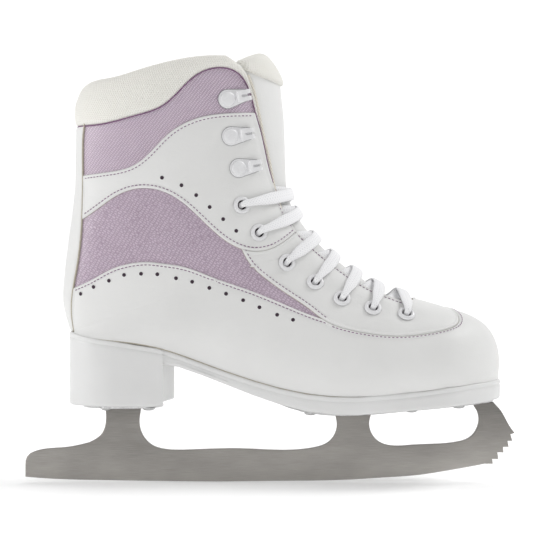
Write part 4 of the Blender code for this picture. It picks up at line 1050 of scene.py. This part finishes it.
def tube(path, radius, sides=6):
    """A thin tube along a path, as (points, faces)."""
    path = np.asarray(path, float)
    travel = unit(np.gradient(path, axis=0))
    side = unit(np.cross(travel, np.array([0.13, 0.35, 0.93])))
    up = np.cross(side, travel)
    radius = np.broadcast_to(radius, len(path))[:, None]
    rings = [path + radius * (math.cos(a) * side + math.sin(a) * up) for a in circle(sides)]
    return np.stack(rings, axis=1).reshape(-1, 3), with_ends(len(path), sides)


def lathe(profile, steps, centre, axes):
    """An open surface of revolution from (radius, height) points, about the third of the axes."""
    rays = [math.cos(a) * axes[0] + math.sin(a) * axes[1] for a in circle(steps)]
    rings = [[centre + r * ray + h * axes[2] for ray in rays] for r, h in profile if r > 0]
    points, faces = loft([np.array(ring) for ring in rings])
    for r, h in profile[:: len(profile) - 1]:
        if r == 0:
            start = 0 if (r, h) == profile[0] else len(rings) * steps - steps
            faces += [(start + i, start + (i + 1) % steps, len(points)) for i in range(steps)]
            points = np.concatenate([points, [centre + h * axes[2]]])
    return points, faces


def quads(rows, count):
    """Faces between rows of points in order, each row a closed ring of count points."""
    faces = []
    for i in range(rows - 1):
        for j in range(count):
            k = (j + 1) % count
            faces.append((i * count + j, i * count + k, (i + 1) * count + k, (i + 1) * count + j))
    return faces


def with_ends(rows, count):
    """The faces of quads, with one more over the first ring and one over the last."""
    return [*quads(rows, count), tuple(range(count)), tuple(range((rows - 1) * count, rows * count))]


def loft(rings):
    """Closed rings of the same length joined in order."""
    return np.concatenate(rings), quads(len(rings), len(rings[0]))


# --- Edge shapes of the panels ------------------------------------------------------------


def smooth(x):
    x = np.clip(x, 0, 1)
    return x * x * (3 - 2 * x)


def leather_edge(away, t, v):
    """A folded leather edge: rolled down at the rim, a low lip, then the stitches' groove."""
    lip = 0.45 * np.exp(-(((away - 0.95) / 0.65) ** 2))
    groove = 0.2 * np.exp(-(((away - 2.0) / 0.45) ** 2))
    return 0.45 * (1 - smooth(away / 0.7)) - lip + groove - 0.25 * smooth((away - 2.4) / 5)


def insert_face(away, t, v):
    """Cloth let in between panels, a little proud in its middle."""
    return 0.75 - 0.65 * smooth(away / 9)


# --- Stitches, holes and seams ------------------------------------------------------------

STITCH_LENGTH, STITCH_PITCH, STITCH_WIDE = 1.75, 2.35, 0.24


def grain(start, stop, out, wide=STITCH_WIDE, high=0.24):
    """One stitch: a thread that comes up, lies on the leather and goes down."""
    along = stop - start
    along = along / np.linalg.norm(along)
    across = np.cross(out, along)
    points, faces = [start - 0.25 * out], []
    for share, size in ((0.18, 0.85), (0.5, 1.0), (0.82, 0.85)):
        centre = start + share * (stop - start)
        for a in np.radians((0, 60, 120, 180)):
            points.append(centre + size * (wide * math.cos(a) * across + high * math.sin(a) * out))
    points.append(stop - 0.25 * out)
    for i in range(2):
        for j in range(3):
            a = 1 + 4 * i + j
            faces.append((a, a + 1, a + 5, a + 4))
    faces += [(0, j + 1, j) for j in (1, 2, 3)] + [(13, 9 + j, 10 + j) for j in (0, 1, 2)]
    return np.array(points), faces


def stitches(line, place, start=0.0):
    """Stitches along a line of surface places; place turns a row of the line to (point, out)."""
    length = lengths([place(*p)[0] for p in line])
    parts = []
    at = start
    while at + STITCH_LENGTH < length[-1]:
        ends = [[np.interp(one, length, column) for column in line.T] for one in (at, at + STITCH_LENGTH)]
        (first, out), (second, _) = place(*ends[0]), place(*ends[1])
        parts.append(grain(first, second, out))
        at += STITCH_PITCH
    return parts


def on_skin(side, depth=0.0):
    def place(t, s):
        point, _, _, out = skin_frame(t, s, side, depth)
        return point, out

    return place


def both_stitched(line, depth):
    """Stitches along a seam seen from the side, on both sides of the boot."""
    flat = on_side(line)
    return stitches(flat, on_skin(LATERAL, depth)) + stitches(flat, on_skin(MEDIAL, depth))


def between_x(line, low, high):
    return line[(line[:, 0] >= low) & (line[:, 0] <= high)]


def trimmed(line, other, keep_first=True):
    """The part of a line before, or after, it first crosses another."""
    place, _ = crossing(line, other)
    return stretch(line, 0.0, place) if keep_first else stretch(line, place, len(line) - 1.0)


def on_front(depth):
    """Like on_skin, for places given as (t, v) about the front ridge."""

    def place(t, v):
        point, _, _, out = skin_frame(t, min(1 - abs(v), 0.98), LATERAL if v < 0 else MEDIAL, depth)
        return lay_front(t, v, depth), out

    return place


def round_the_toe(outer_edge, inner_edge, distance):
    """A line in front of the overlay's edge, from one side over the ridge to the other."""
    halves = []
    for edge, sign in ((outer_edge, LATERAL), (inner_edge, MEDIAL)):
        t, s = on_side(between_x(edge, 36.0, 200.0)).T
        s[-1] = 1
        halves.append(np.stack([t, sign * (1 - s)], axis=1))
    line = np.concatenate([halves[0], halves[1][-2::-1]]) * METRIC
    choices = [shifted(line, sign * distance) / METRIC for sign in (-1, 1)]
    return max(choices, key=lambda moved: moved[:, 0].mean())


def make_stitching():
    quarter_top, quarter_bottom = seam_line(QUARTER_TOP), seam_line(QUARTER_BOTTOM)
    facing, backstay = facing_edge(), seam_line(BACKSTAY_EDGE)
    foxing, eyestay = seam_line(FOXING_TOP), seam_line(EYESTAY_EDGE)
    inner_eyestay, throat = seam_line(INNER_EYESTAY_EDGE), seam_line(THROAT_EDGE)
    back_in = shifted(backstay, 1.6)
    facing_in = shifted(facing, -1.0)
    top_row, bottom_row = shifted(quarter_top, -2.0), shifted(quarter_bottom, 2.0)
    foxing_row = shifted(foxing, -2.0)
    top_in = trimmed(trimmed(top_row, back_in, False), facing_in)
    bottom_in = trimmed(trimmed(bottom_row, back_in, False), facing_in)
    foxing_in = trimmed(foxing_row, back_in, False)
    facing_run = trimmed(stretch(facing_in, 0.62 * len(facing_in), len(facing_in) - 1.0), bottom_row)
    overlay = between_x(trimmed(shifted(eyestay, 1.7), quarter_bottom, False), -200.0, 35.0)
    throat_in = trimmed(shifted(throat[:-2], -1.4), quarter_bottom, False)
    parts = []
    for line in (top_in, bottom_in, foxing_in, facing_run, overlay, throat_in):
        parts += both_stitched(line, -0.12)
    parts += stitches(round_the_toe(eyestay, inner_eyestay, 1.9), on_front(-0.3))
    piece("stitching", *joined(parts), "thread", "boot", "white_leather")


PERFORATIONS_LOW = (
    (-111.4, 113.0), (-103.5, 117.1), (-94.2, 120.8), (-85.2, 124.2), (-75.2, 124.9), (-65.7, 124.6),
    (-54.8, 122.3), (-45.4, 120.2), (-35.4, 116.6), (-25.7, 113.2), (-15.7, 109.4), (-6.2, 105.3),
    (4.1, 101.0), (13.3, 98.1),
)
PERFORATIONS_HIGH = (
    (-62.8, 180.7), (-51.5, 176.3), (-43.0, 170.6), (-35.2, 163.7), (-27.4, 156.7), (-19.8, 149.9),
)
# A punched hole's dark floor, painted shade where the hole's inside lies in shadow, as radius, height at its
# edge and height in its middle, and its rim as (radius, height).
PERFORATION_SHADE_FLOOR = (1.15, 0.36, 0.3)
PERFORATION_RIM = ((1.12, 0.3), (1.22, 0.42), (1.37, 0.36), (1.55, 0.1))


def make_perforations():
    """Punched holes in two rows on each side, each floored with a dark disc of painted shade and with a
    slightly raised rim.
    """
    holes, rims = [], []
    radius, edge, middle = PERFORATION_SHADE_FLOOR
    turn = circle(12)
    for t, s in on_side(np.array(PERFORATIONS_LOW + PERFORATIONS_HIGH)):
        for side in SIDES.values():
            centre, along, across, out = skin_frame(t, s, side)
            spokes = np.cos(turn)[:, None] * along + np.sin(turn)[:, None] * across
            floor = np.concatenate([centre + out * edge + radius * spokes, [centre + middle * out]])
            holes.append((floor, [(i, (i + 1) % 12, 12) for i in range(12)]))
            rims.append(loft([centre + h * out + r * spokes for r, h in PERFORATION_RIM]))
    piece("perforations", *joined(holes), "recess", "boot", "white_leather")
    piece("perforation_rims", *joined(rims), "white_leather", "boot", "white_leather")


# --- The boot -----------------------------------------------------------------------------

# A cut panel's two finishes: its face, and the raw edge.
CUT_LEATHER = ["white_leather", "raw_edge"]


def panel_holes(centres):
    """The eyelets' holes in a panel, as outlines in (t, s)."""
    holes = []
    turn = circle(18)
    for x, z in centres:
        centre, along, across, _ = skin_frame(*on_side([(x, z)])[0], MEDIAL)
        rim = centre + EYELET_HOLE * (np.cos(turn)[:, None] * along + np.sin(turn)[:, None] * across)
        holes.append(on_side(rim[:, [0, 2]]))
    return holes


def make_side_panels():
    top, bottom = seam_line(QUARTER_TOP), seam_line(QUARTER_BOTTOM)
    back, facing = seam_line(BACKSTAY_EDGE), facing_edge()
    collar, foxing, eyestay = seam_line(COLLAR_SEAM), seam_line(FOXING_TOP), seam_line(EYESTAY_EDGE)
    quarter = ring(top, facing, bottom, back)
    side = ring(bottom, eyestay, foxing, back)
    rows = (
        ("cuff_insert", "lavender_fabric", "lavender_fabric", ring(collar, top, back), (), insert_face),
        ("quarter", CUT_LEATHER, "white_leather", quarter, EYELETS[:2], leather_edge),
        ("side_insert", "lavender_grain", "lavender_fabric", side, (), insert_face),
    )
    for name, finish, slot, outline, centres, profile in rows:
        flat = on_side(shrunk(outline, 0.06))
        holes = panel_holes(centres)
        for word, side in SIDES.items():
            cad = [f"{name}_{word}"] + ([f"ankle_pad_{word}"] if name == "side_insert" else [])
            panel(f"{name}_{word}_skin", finish, "boot", slot, lay_side(side), flat, profile, cad, holes)


def make_collar():
    run = chain(seam_line(COLLAR_TOP), seam_line(THROAT_EDGE), seam_line(COLLAR_SEAM)[::-1])
    run = on_side(shifted(run, -0.05))
    run[0, 1] = run[-1, 1] = 0

    def narrow(v):
        return np.clip((np.abs(v) - 0.66) / 0.12, 0, 1)

    pillow(
        "collar_pad", "cream_mesh", "boot", "cream_mesh", lay_back, both_sides(run, run, 0),
        lambda away, t, v: -0.2 - (1.9 - 1.2 * narrow(v)) * (1 - np.exp(-away / 5)),
        lambda away, t, v: 3.4 + 1.6 * (1 - np.exp(-away / 6)) * (1 - narrow(v)), 3.2, ["collar"],
        rings=PAD_RINGS,
    )


def make_backstay():
    run = chain(seam_line(COLLAR_SEAM), seam_line(BACKSTAY_EDGE))
    run = on_side(shifted(run, -0.05))
    end = HEEL_STATION - 0.02
    run = run[run[:, 0] < end - 0.05]
    run = np.array([(run[0, 0], 0), *run[1:], (end, run[-1, 1]), (end, 0)])
    panel(
        "backstay_strip", CUT_LEATHER, "boot", "white_leather", lay_back, both_sides(run, run, 0),
        lambda away, t, v: -0.5 + 0.7 * (1 - smooth(away / 1.0)), ["backstay"], rings=(0.45, 1.1),
    )


def make_vamp():
    """The eyestay overlay round the throat, and the lower vamp that wraps the toe."""
    throat, bottom = seam_line(THROAT_EDGE)[::-1], seam_line(QUARTER_BOTTOM)[::-1]
    back, foxing = seam_line(BACKSTAY_EDGE)[::-1], seam_line(FOXING_TOP)
    overlay, lower = [], []
    for edge in (EYESTAY_EDGE, INNER_EYESTAY_EDGE):
        edge = seam_line(edge)
        run = on_side(shifted(chain(throat, bottom, edge), 0.05))
        run[0, 1] = run[-1, 1] = 1
        overlay.append(run)
        run = on_side(shifted(chain(back, foxing, edge), -0.05))
        run[-1, 1] = 1
        lower.append(run)
    holes = []
    for hole in panel_holes(EYELETS[2:]):
        holes += [np.stack([hole[:, 0], sign * (1 - hole[:, 1])], axis=1) for sign in (LATERAL, MEDIAL)]
    panel(
        "eyestay_skin", CUT_LEATHER, "boot", "white_leather", lay_front, both_sides(*overlay, 1),
        leather_edge, ["eyestay_overlay"], holes, rings=FRONT_RINGS,
    )
    feather = np.arange(HEEL_STATION + 0.4, LAST_STATION, 0.2)
    halves = []
    for run in lower:
        above = int(np.argmax(run[:, 1] > 0.004))
        run = run[above:]
        start = (HEEL_STATION + 0.22, 0.0)
        toe = [(t, 0.0) for t in feather[::-1] if t > start[0] + 0.04]
        halves.append(np.array([(LAST_STATION, 0.0), *toe, start, *run]))
    outline = both_sides(halves[0][1:], halves[1][1:], 1)
    pole = [(LAST_STATION, v) for v in (1.0, 0.75, 0.5, 0.25, 0.0, -0.25, -0.5, -0.75, -1.0)]
    outline = np.concatenate([outline, pole])

    def profile(away, t, v):
        return leather_edge(away, t, v) * smooth((1 - np.abs(v)) / 0.15)

    panel(
        "vamp_skin", CUT_LEATHER, "boot", "white_leather", lay_front, outline, profile,
        ["lower_vamp", "toe_puff", "heel_counter"], rings=FRONT_RINGS,
    )


def make_lining():
    top = on_side(seam_line(COLLAR_TOP))
    order = np.argsort(top[:, 1])
    start = 1.6
    rows = np.concatenate([np.linspace(0, start, 6), np.arange(1.9, LAST_STATION, 0.35), [LAST_STATION]])
    reach = throat_reach(2.5, SEAM_SPACING)
    share = np.linspace(0, 1, 22)
    parts = []
    for side in SIDES.values():
        points = []
        for row in rows:
            s = share * reach(max(row, 0.8))
            rim = np.interp(s, top[order, 1], top[order, 0]) + 0.2
            t = rim + (row / start) * (start - rim) if row < start else np.full(len(s), row)
            below_rim = 0.7 * np.sin(np.clip(row / 1.5, 0, 1) * math.pi / 2)
            points.append(boot_point(t, s, side, LINING_DEPTH + below_rim))
        count = len(share)
        faces = [
            (i * count + j, i * count + j + 1, (i + 1) * count + j + 1, (i + 1) * count + j)
            for i in range(len(rows) - 1) for j in range(count - 1)
        ]
        parts.append((np.concatenate(points), faces))
    points, faces = joined(parts)
    stands_for = ["lining", "insole_board", "shank"]
    uv = points[:, [0, 2]]
    piece("lining_sock", points, faces, "lining_cloth", "boot", "cream_mesh", stands_for, uv=uv)


def make_footbed():
    outline = foot_outline(FOOTBED_DEPTH)
    flat, faces = fine_flat(outline, step=5.0, rings=(0.6, 1.5, 3.0), metric=np.array([1.0, 1.0]))
    x, y = flat.T
    edge = nearest(flat, outline)
    heel_cup = 1.6 * np.exp(-edge / 7) * (x < 60)
    high = sole_top(x) + FOOTBED_HIGH - 1.0 * (1 - smooth(edge / 1.2)) + heel_cup
    low = sole_top(x) + FOOTBED_LOW
    points = np.concatenate([np.stack([x, y, high], axis=1), np.stack([x, y, low], axis=1)])
    count = len(x)
    faces = [*faces, *(faces[:, ::-1] + count), *[(b, a, a + count, b + count) for a, b in rim_of(faces)]]
    uv = points[:, :2]
    piece("footbed_cover", points, faces, "footbed_foam", "boot", "footbed_foam", ["footbed"], uv=uv)


def whole_tongue(t, v):
    """The tongue's front face, flatter above the fold."""
    return (0.55 + 0.45 * smooth((np.asarray(t) - 3.4) / 1.2)) * tongue_outer(t, v)


def tongue_edge(rows, clear, drop=0.0, bow=0.0):
    """An outline of the tongue; its ends swing up by drop and down by bow in the middle."""
    right = np.array([(t, tongue_half(t, clear)) for t in rows])
    share = np.linspace(-1, 1, 25)[1:-1]
    low, high = right[-1], right[0]
    bottom = np.stack([low[0] + bow * (1 - share**2), low[1] * share], axis=1)
    top = np.stack([high[0] - drop * (1 - share**2), -high[1] * share], axis=1)
    return np.concatenate([right * (1, -1), bottom, right[::-1], top])


def make_tongue():
    body = pillow(
        "tongue_leather", "white_leather", None, "white_leather", lay_tongue,
        tongue_edge(np.arange(PAD_END - 0.38, 17.2, 0.2), 0.005, -PAD_BOW),
        lambda away, t, v: whole_tongue(t, v) - 0.1 * np.sin(np.clip(away / 6, 0, 1) * math.pi),
        lambda away, t, v: whole_tongue(t, v) + 3.0, 1.6, ["tongue_lower", "tongue_upper"],
        rings=(0.4, 1.0, 1.7),
    )
    fold = lay_tongue(TONGUE_FOLD, 0.0, 0.0) * MM
    below, above = [(fold[0], 0, fold[2] + step) for step in (-0.012, 0.012)]
    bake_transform(body)
    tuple(below)
    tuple(above)

    def front(away, t, v):
        down = np.clip((t + 0.02) / 0.85, 0, 1)
        back = 3.8 * (1 - np.sqrt(1 - (1 - down) ** 2))
        return 0.5 * tongue_outer(t, v) - 2.4 + back

    def rear(away, t, v):
        seam = PAD_SEAM + PAD_BOW * (1 - (v / tongue_half(PAD_END, 0)) ** 2)
        up = smooth((seam - t) / 0.35)
        return (0.6 - 0.1 * up) * tongue_outer(t, v) + 1.8 + 2.8 * up

    pillow(
        "tongue_cushion", "cream_mesh", "tongue_flap", "cream_mesh", lay_tongue,
        tongue_edge(np.arange(TONGUE_TOP + 0.24, PAD_SEAM, 0.06), -0.006, 0.2, PAD_BOW), front,
        rear, 2.4, ["tongue_pad"], rings=PAD_RINGS,
    )


# --- Sole, plates and blade ---------------------------------------------------------------


def capped_loft(rings, plane=(0, 1)):
    """A loft whose two ends are filled with triangles between their own points."""
    points, faces = loft(rings)
    count = len(rings[0])
    for start in (0, len(points) - count):
        flat = points[start : start + count][:, plane]
        edges = [(i, (i + 1) % count) for i in range(count)]
        found, _, triangles, *_ = delaunay_2d_cdt([Vector(p) for p in flat], edges, [], 0, 1e-7)
        if len(found) == count:
            middles = np.array([np.mean([found[i] for i in tri], axis=0) for tri in triangles])
            good = inside_many(middles, flat)
            faces += [tuple(start + i for i in tri) for tri, ok in zip(triangles, good) if ok]
        else:
            faces.append(tuple(range(start, start + count)))
    return points, faces


# The sole's wall as (inset, drop), from its top edge and then from its bottom edge.
WALL_FROM_TOP = (
    (2.5, 0), (0.7, 0), (0.15, 0.35), (0, 0.9), (0, 2.2), (0.3, 2.6), (0.3, 2.9), (0, 3.3), (0, 5.0),
)
WALL_FROM_BOTTOM = ((0, -2.2), (0, -1.2), (0.3, -0.45), (0.9, 0), (2.4, 0))


def inset_by(outline, inset):
    return shrunk(outline, inset) if inset else outline


def wall_rings(outline, top, bottom):
    """Rings from the top down: rounded rim, the groove under it, the wall and the rounded foot."""
    x = outline[:, 0]
    rings = []
    for base, levels in ((top, WALL_FROM_TOP), (bottom, WALL_FROM_BOTTOM)):
        rings += [np.column_stack([inset_by(outline, inset), base(x) - drop]) for inset, drop in levels]
    return rings


def make_sole():
    def top(x):
        tight = smooth((x - 20) / 60) + smooth((-80 - x) / 30)
        return sole_top(np.minimum(x, BOOT_TOE_X)) - 2 * GAP + 0.5 * tight

    def bottom(x):
        return sole_bottom(np.maximum(x, SOLE_BOTTOM[0][0]))

    whole = foot_outline(-SOLE_WELT)
    forepart = capped_loft(wall_rings(whole_front(whole), top, bottom))
    heel = capped_loft(wall_rings(heel_outline(whole), top, lambda x: np.full(len(x), HEEL_BOTTOM_Z)))
    piece("sole_unit", *joined([forepart, heel]), "sole_white", "boot", "sole_white", ["outsole"], sharp=60.0)


def whole_front(whole):
    """The sole's outline from just behind the heel's breast to the toe."""
    keep = whole[:, 0] > HEEL_BREAST_X - 14.0
    first = int(np.argmax(keep & ~np.roll(keep, 1)))
    kept = np.roll(whole, -first, axis=0)[np.roll(keep, -first)]
    kept[kept[:, 0] < HEEL_BREAST_X - 0.5, 1] *= 0.97
    return kept


def heel_outline(whole):
    """The heel's outline, its front face bowed a little and its inner corner cut."""
    keep = whole[:, 0] < HEEL_BREAST_X - 1.0
    first = int(np.argmax(keep & ~np.roll(keep, 1)))
    kept = np.roll(whole, -first, axis=0)[np.roll(keep, -first)]
    start, stop = kept[-1], kept[0]
    share = np.linspace(0, 1, 17)
    breast = start + (stop - start) * share[:, None]
    skew = 1.8 * np.sign(stop[1] - start[1]) * (2 * share - 1)
    breast[:, 0] = HEEL_BREAST_X - 0.4 + skew - 3.0 * (1 - (2 * share - 1) ** 2)
    return np.concatenate([kept, breast])


def strip_outline(start, stop, half, count=40):
    """A closed outline from above along X with round ends."""
    first, last = float(half(start)), float(half(stop))
    rear, front = np.radians(np.arange(180, 90, -9)), np.radians(np.arange(81, -1, -9))
    upper = [(start + first * (1 + math.cos(a)), first * math.sin(a)) for a in rear]
    upper += [(x, float(half(x))) for x in np.linspace(start + first, stop - last, count)]
    upper += [(stop - last * (1 - math.cos(a)), last * math.sin(a)) for a in front]
    return np.array([*upper, *[(x, -y) for x, y in upper[-2:0:-1]]])


def screw_head(centre):
    """A low domed head, seen from below, with a cross recess."""
    profile = [(0, -1.15), (1.1, -1.1), (2.3, -0.9), (3.1, -0.55)]
    profile += [(SCREW_HEAD, -0.05), (SCREW_HEAD, 0.45), (2.0, 0.45)]
    points, faces = [], []
    turns = circle(24)
    for a in turns:
        cross = np.exp(-((math.sin(2 * a) / 0.35) ** 2))
        for r, h in profile:
            sink = 0.7 * cross * math.exp(-((r / 1.9) ** 4))
            points.append(centre + np.array([r * math.cos(a), r * math.sin(a), h + sink]))
    count = len(profile)
    for i in range(len(turns)):
        here, after = i * count, (i + 1) % len(turns) * count
        faces += [(here + j, after + j, after + j + 1, here + j + 1) for j in range(count - 1)]
    return np.array(points), faces


def make_plates():
    for name, screws, ends, half, top in (
        ("heel_plate", HEEL_SCREWS, (-112.0, -64.0), heel_plate_half, heel_plate_top),
        ("sole_plate", SOLE_SCREWS, (5.0, 134.0), sole_plate_half, sole_plate_top),
    ):
        outline = strip_outline(*ends, half)
        rings = [
            np.column_stack([inset_by(outline, inset), top(outline[:, 0]) - drop])
            for inset, drop in ((0.5, 0.0), (0.0, 0.35), (0.0, 1.45), (0.15, 1.75), (0.5, PLATE_THICKNESS))
        ]
        piece(f"{name}_steel", *capped_loft(rings), "fastener_steel", "boot", "blade_steel", [name])
        for number, (x, y) in enumerate(screws, 1):
            spot = np.array([x, y, float(top(x)) - PLATE_THICKNESS - 0.45])
            word = name.split("_")[0]
            piece(
                f"{word}_screw_head_{number}", *screw_head(spot), "fastener_steel", "boot", "fastener_steel",
                [f"{word}_screw_{number}"],
            )


def make_blade():
    """The stamped sheet with softened edges; the runner's lower edge is ground bright."""
    rear, front = smooth_line(REAR_WINDOW, 2.0), smooth_line(FRONT_WINDOW, 2.0)
    top_front = [plate_under(x) for x in np.linspace(134.0, 121.6, 5)]
    top_middle = [plate_under(x) for x in np.linspace(61.0, 39.0, 6)]
    top_heel = [plate_under(x) for x in (-77.4, -88.0, -98.6)]
    bottom = smooth_line(BLADE_BOTTOM, 4.0)
    outline = np.concatenate([
        bottom, TOE_PICKS, smooth_line(TOE_FRONT, 2.0)[1:-1], top_front,
        front[::-1][1:-1], top_middle, rear[::-1][1:-1], top_heel, smooth_line(HEEL_STANCHION_BACK, 2.0)[1:],
        smooth_line(TAIL, 2.5)[1:],
    ])
    half = BLADE_THICKNESS / 2
    softened, flat = shrunk(outline, BLADE_CHAMFER), half - BLADE_CHAMFER
    levels = ((softened, -half), (outline, -flat), (outline, flat), (softened, half))
    rings = [np.insert(one, 1, y, axis=1) for one, y in levels]
    points, faces = capped_loft(rings, (0, 2))
    count, run = len(outline), len(bottom) - 1
    ground = [i for i, face in enumerate(faces) if len(face) == 4 and all((c % count) <= run for c in face)]
    piece(
        "blade_sheet", points, faces, ["blade_steel", "ground_steel"], "boot", "blade_steel", ["blade"],
        second=ground, sharp=30.0,
    )


# --- Eyelets, hooks and the lace ----------------------------------------------------------


def make_eyelets():
    rim = [
        (2.75, -1.8), (2.72, 0.6), (2.85, 1.15), (3.3, 1.5), (3.9, 1.55), (4.5, 1.3), (4.95, 0.8), (5.1, 0.3),
        (5.1, 0.0),
    ]
    for number, (t, s) in enumerate(on_side(EYELETS), 1):
        for word, side in SIDES.items():
            centre, *axes = skin_frame(t, s, side)
            ring_points, faces = lathe(rim, 32, centre, np.array(axes))
            # The barrel is closed by a dark disc in the recess finish: painted shade where the eyelet's
            # inside lies in shadow.
            well, fan = lathe([(0.0, -1.2), (1.5, -1.2), (2.8, -1.1)], 32, centre, np.array(axes))
            points, all_faces = joined([(ring_points, faces), (well, fan)])
            second = range(len(faces), len(all_faces))
            piece(
                f"eyelet_ring_{word}_{number}", points, all_faces, ["enamel_white", "recess"],
                "boot", "enamel_white", [f"eyelet_{word}_{number}"], second=second,
            )


def ribbon(path, centre, half, thick):
    """A flat strip along a path in (forward, height), centred at this width."""
    path = np.asarray(path, float)
    travel = unit(np.gradient(path, axis=0))
    normal = np.stack([-travel[:, 1], travel[:, 0]], axis=1)
    corner = 0.25
    wide, high = half - corner, thick / 2 - corner
    shape = [
        (-half, -high), (-wide, -thick / 2), (wide, -thick / 2), (half, -high),
        (half, high), (wide, thick / 2), (-wide, thick / 2), (-half, high),
    ]
    points = []
    for (a, h), (na, nh) in zip(path, normal):
        points += [(a + n * na, centre + w, h + n * nh) for w, n in shape]
    return np.array(points), with_ends(len(path), len(shape))


def hook_shape():
    """A lace hook as (forward, across, out): teardrop base, rivet head, a split tongue folded back, and a
    grey ring round the base that is painted shadow.
    """
    rear = [(5.4 * math.cos(a), 5.4 * math.sin(a)) for a in np.radians(np.arange(80, 281, 10))]
    base = np.array([(12.5, 2.7), (11.9, 3.2), *rear, (11.9, -3.2), (12.5, -2.7)])
    rings = [
        np.column_stack([inset_by(base, inset), np.full(len(base), h)])
        for inset, h in ((0.0, 0.1), (0.0, 0.75), (0.12, 0.95), (0.4, 1.05))
    ]
    points, faces = loft(rings)
    faces.append(tuple(range(len(points) - len(base), len(points))))
    dome = [(4.45, 0.9), (4.4, 1.4), (4.05, 1.9), (3.1, 2.3), (1.6, 2.55), (0.0, 2.6)]
    rivet, rivet_faces = lathe(dome, 32, np.zeros(3), np.eye(3))
    bend = [(11.7 + 1.75 * math.cos(a), 2.6 + 1.75 * math.sin(a)) for a in np.radians(np.arange(-90, 91, 15))]
    prong = [(10.2, 0.8), *bend, (10.2, 4.4), (8.6, 4.4), (7.2, 4.4)]
    parts = [(points, faces), (rivet, rivet_faces)]
    parts += [ribbon(prong, w, 1.3, 0.95) for w in (-2.0, 2.0)]
    parts.append(ribbon([(7.7, 4.42), (6.7, 4.45), (5.7, 4.7), (5.0, 5.1)], 0.0, 3.3, 0.95))
    # A grey ring round the base where it meets the leather: painted shadow round the hook's edge.
    rim = [np.column_stack([shrunk(base, inset), np.full(len(base), 0.6)]) for inset in (-0.3, 0.2)]
    parts.append(loft(rim))
    points, faces = joined(parts)
    return points, faces, range(len(faces) - len(base), len(faces))


def make_hooks():
    shape, faces, hook_shadow = hook_shape()
    for number, (x, z, tilt) in enumerate(HOOKS, 1):
        for word, side in SIDES.items():
            centre, _, _, out = skin_frame(*on_side([(x, z)])[0], side)
            forward = np.array([1.0, 0.0, tilt])
            forward -= out * (forward @ out)
            forward /= np.linalg.norm(forward)
            across = np.cross(out, forward)
            points = centre + shape @ np.array([forward, across, out])
            piece(
                f"hook_white_{word}_{number}", points, faces, ["enamel_white", "hook_shadow"],
                "boot", "enamel_white", [f"hook_{word}_{number}"], second=hook_shadow, sharp=35.0,
            )


def make_lace():
    places = on_side(EYELETS)[::-1]
    start, across = places[0]
    bar = [(start, share * (1 - across), LACE_UNDER, 0.0) for share in (-0.6, -0.2, 0.2, 0.6)]
    route = np.array([*lace_run(places, LATERAL)[::-1], *bar, *lace_run(places, MEDIAL)])
    t, v, depth, squeeze = route.T
    centres = lay_front(t, v, depth)
    along_t = unit(lay_front(t + 0.02, v, depth) - lay_front(t - 0.02, v, depth))
    fine = corners_cut(np.concatenate([centres, along_t, squeeze[:, None]], axis=1), 3)
    fine = evenly(fine, LACE_RINGS, 1 + fine[:, 6])
    centre, up, squeeze = fine[:, :3], fine[:, 3:6], fine[:, 6:]
    travel = unit(np.gradient(centre, axis=0))
    side = unit(up - travel * (up * travel).sum(axis=1)[:, None])
    thick = np.cross(travel, side)
    half_wide, half_thick = (
        flat * (1 - squeeze) + gathered * squeeze for flat, gathered in zip(LACE_FLAT, LACE_GATHERED)
    )
    rings = []
    for a in circle(LACE_SIDES):
        wide = half_wide * np.sign(math.cos(a)) * abs(math.cos(a)) ** 0.7
        rings.append(centre + wide * side + half_thick * math.sin(a) * thick)
    points = np.stack(rings, axis=1).reshape(-1, 3)
    faces = with_ends(LACE_RINGS, LACE_SIDES)
    across_lace = LACE_WIDTH / 2 * np.cos(circle(LACE_SIDES))
    uv = np.stack([np.repeat(lengths(centre), LACE_SIDES), np.tile(across_lace, LACE_RINGS)], axis=1)
    piece("lace_ribbon", points, faces, "lace_cotton", "boot", "lace_cotton", ["lace"], uv=uv, sharp=80.0)


def make_binding():
    """The cream strip that binds the throat's edge from the collar down to the laces."""
    edge = on_side(seam_line(THROAT_EDGE[2:10], 1.2))
    parts = []
    for side in SIDES.values():
        path = boot_point(edge[:, 0], edge[:, 1], side, 0.9)
        parts.append(tube(path, 1.15, 10))
    points, faces = joined(parts)
    piece("throat_binding", points, faces, "binding", "boot", "cream_mesh", uv=points[:, [0, 2]])


def make_seams():
    """The collar seam's dark piping, the backstay's raw edges and a dark line of painted shade in the joint
    above the sole.
    """
    collar = on_side(seam_line(COLLAR_SEAM, 1.5)[:-2])
    parts = []
    for side in SIDES.values():
        path = boot_point(collar[:, 0], collar[:, 1], side, 0.15)
        parts.append(tube(path, 0.3))
    piece("collar_piping", *joined(parts), "thread", "boot", "lavender_fabric")
    edge = seam_line(BACKSTAY_EDGE, 1.5)
    edge = on_side(edge[(edge[:, 1] > 90) & (edge[:, 1] < 219)])
    parts = [tube(boot_point(edge[:, 0], edge[:, 1], side, -0.05), 0.42) for side in SIDES.values()]
    piece("backstay_edges", *joined(parts), "raw_edge", "boot", "white_leather")
    # Painted shade: a thin dark tube lies in the joint between the upper and the sole, thinning out towards
    # the toe.
    t = np.arange(10.3, 23.9, 0.1)
    parts = []
    for side in SIDES.values():
        path = boot_point(t, np.zeros(len(t)), side, 0.25)
        path[:, 2] -= 0.25
        parts.append(tube(path, 0.4 - 0.34 * smooth((t - 14) / 4)))
    piece("sole_joint_shade", *joined(parts), "raw_edge", "boot", "sole_white")


MATERIALS = make_materials()
make_stage()
make_lace()
make_side_panels()
make_collar()
make_backstay()
make_vamp()
make_lining()
make_footbed()
make_tongue()
make_sole()
make_plates()
make_blade()
make_eyelets()
make_hooks()
make_stitching()
make_perforations()
make_seams()
make_binding()
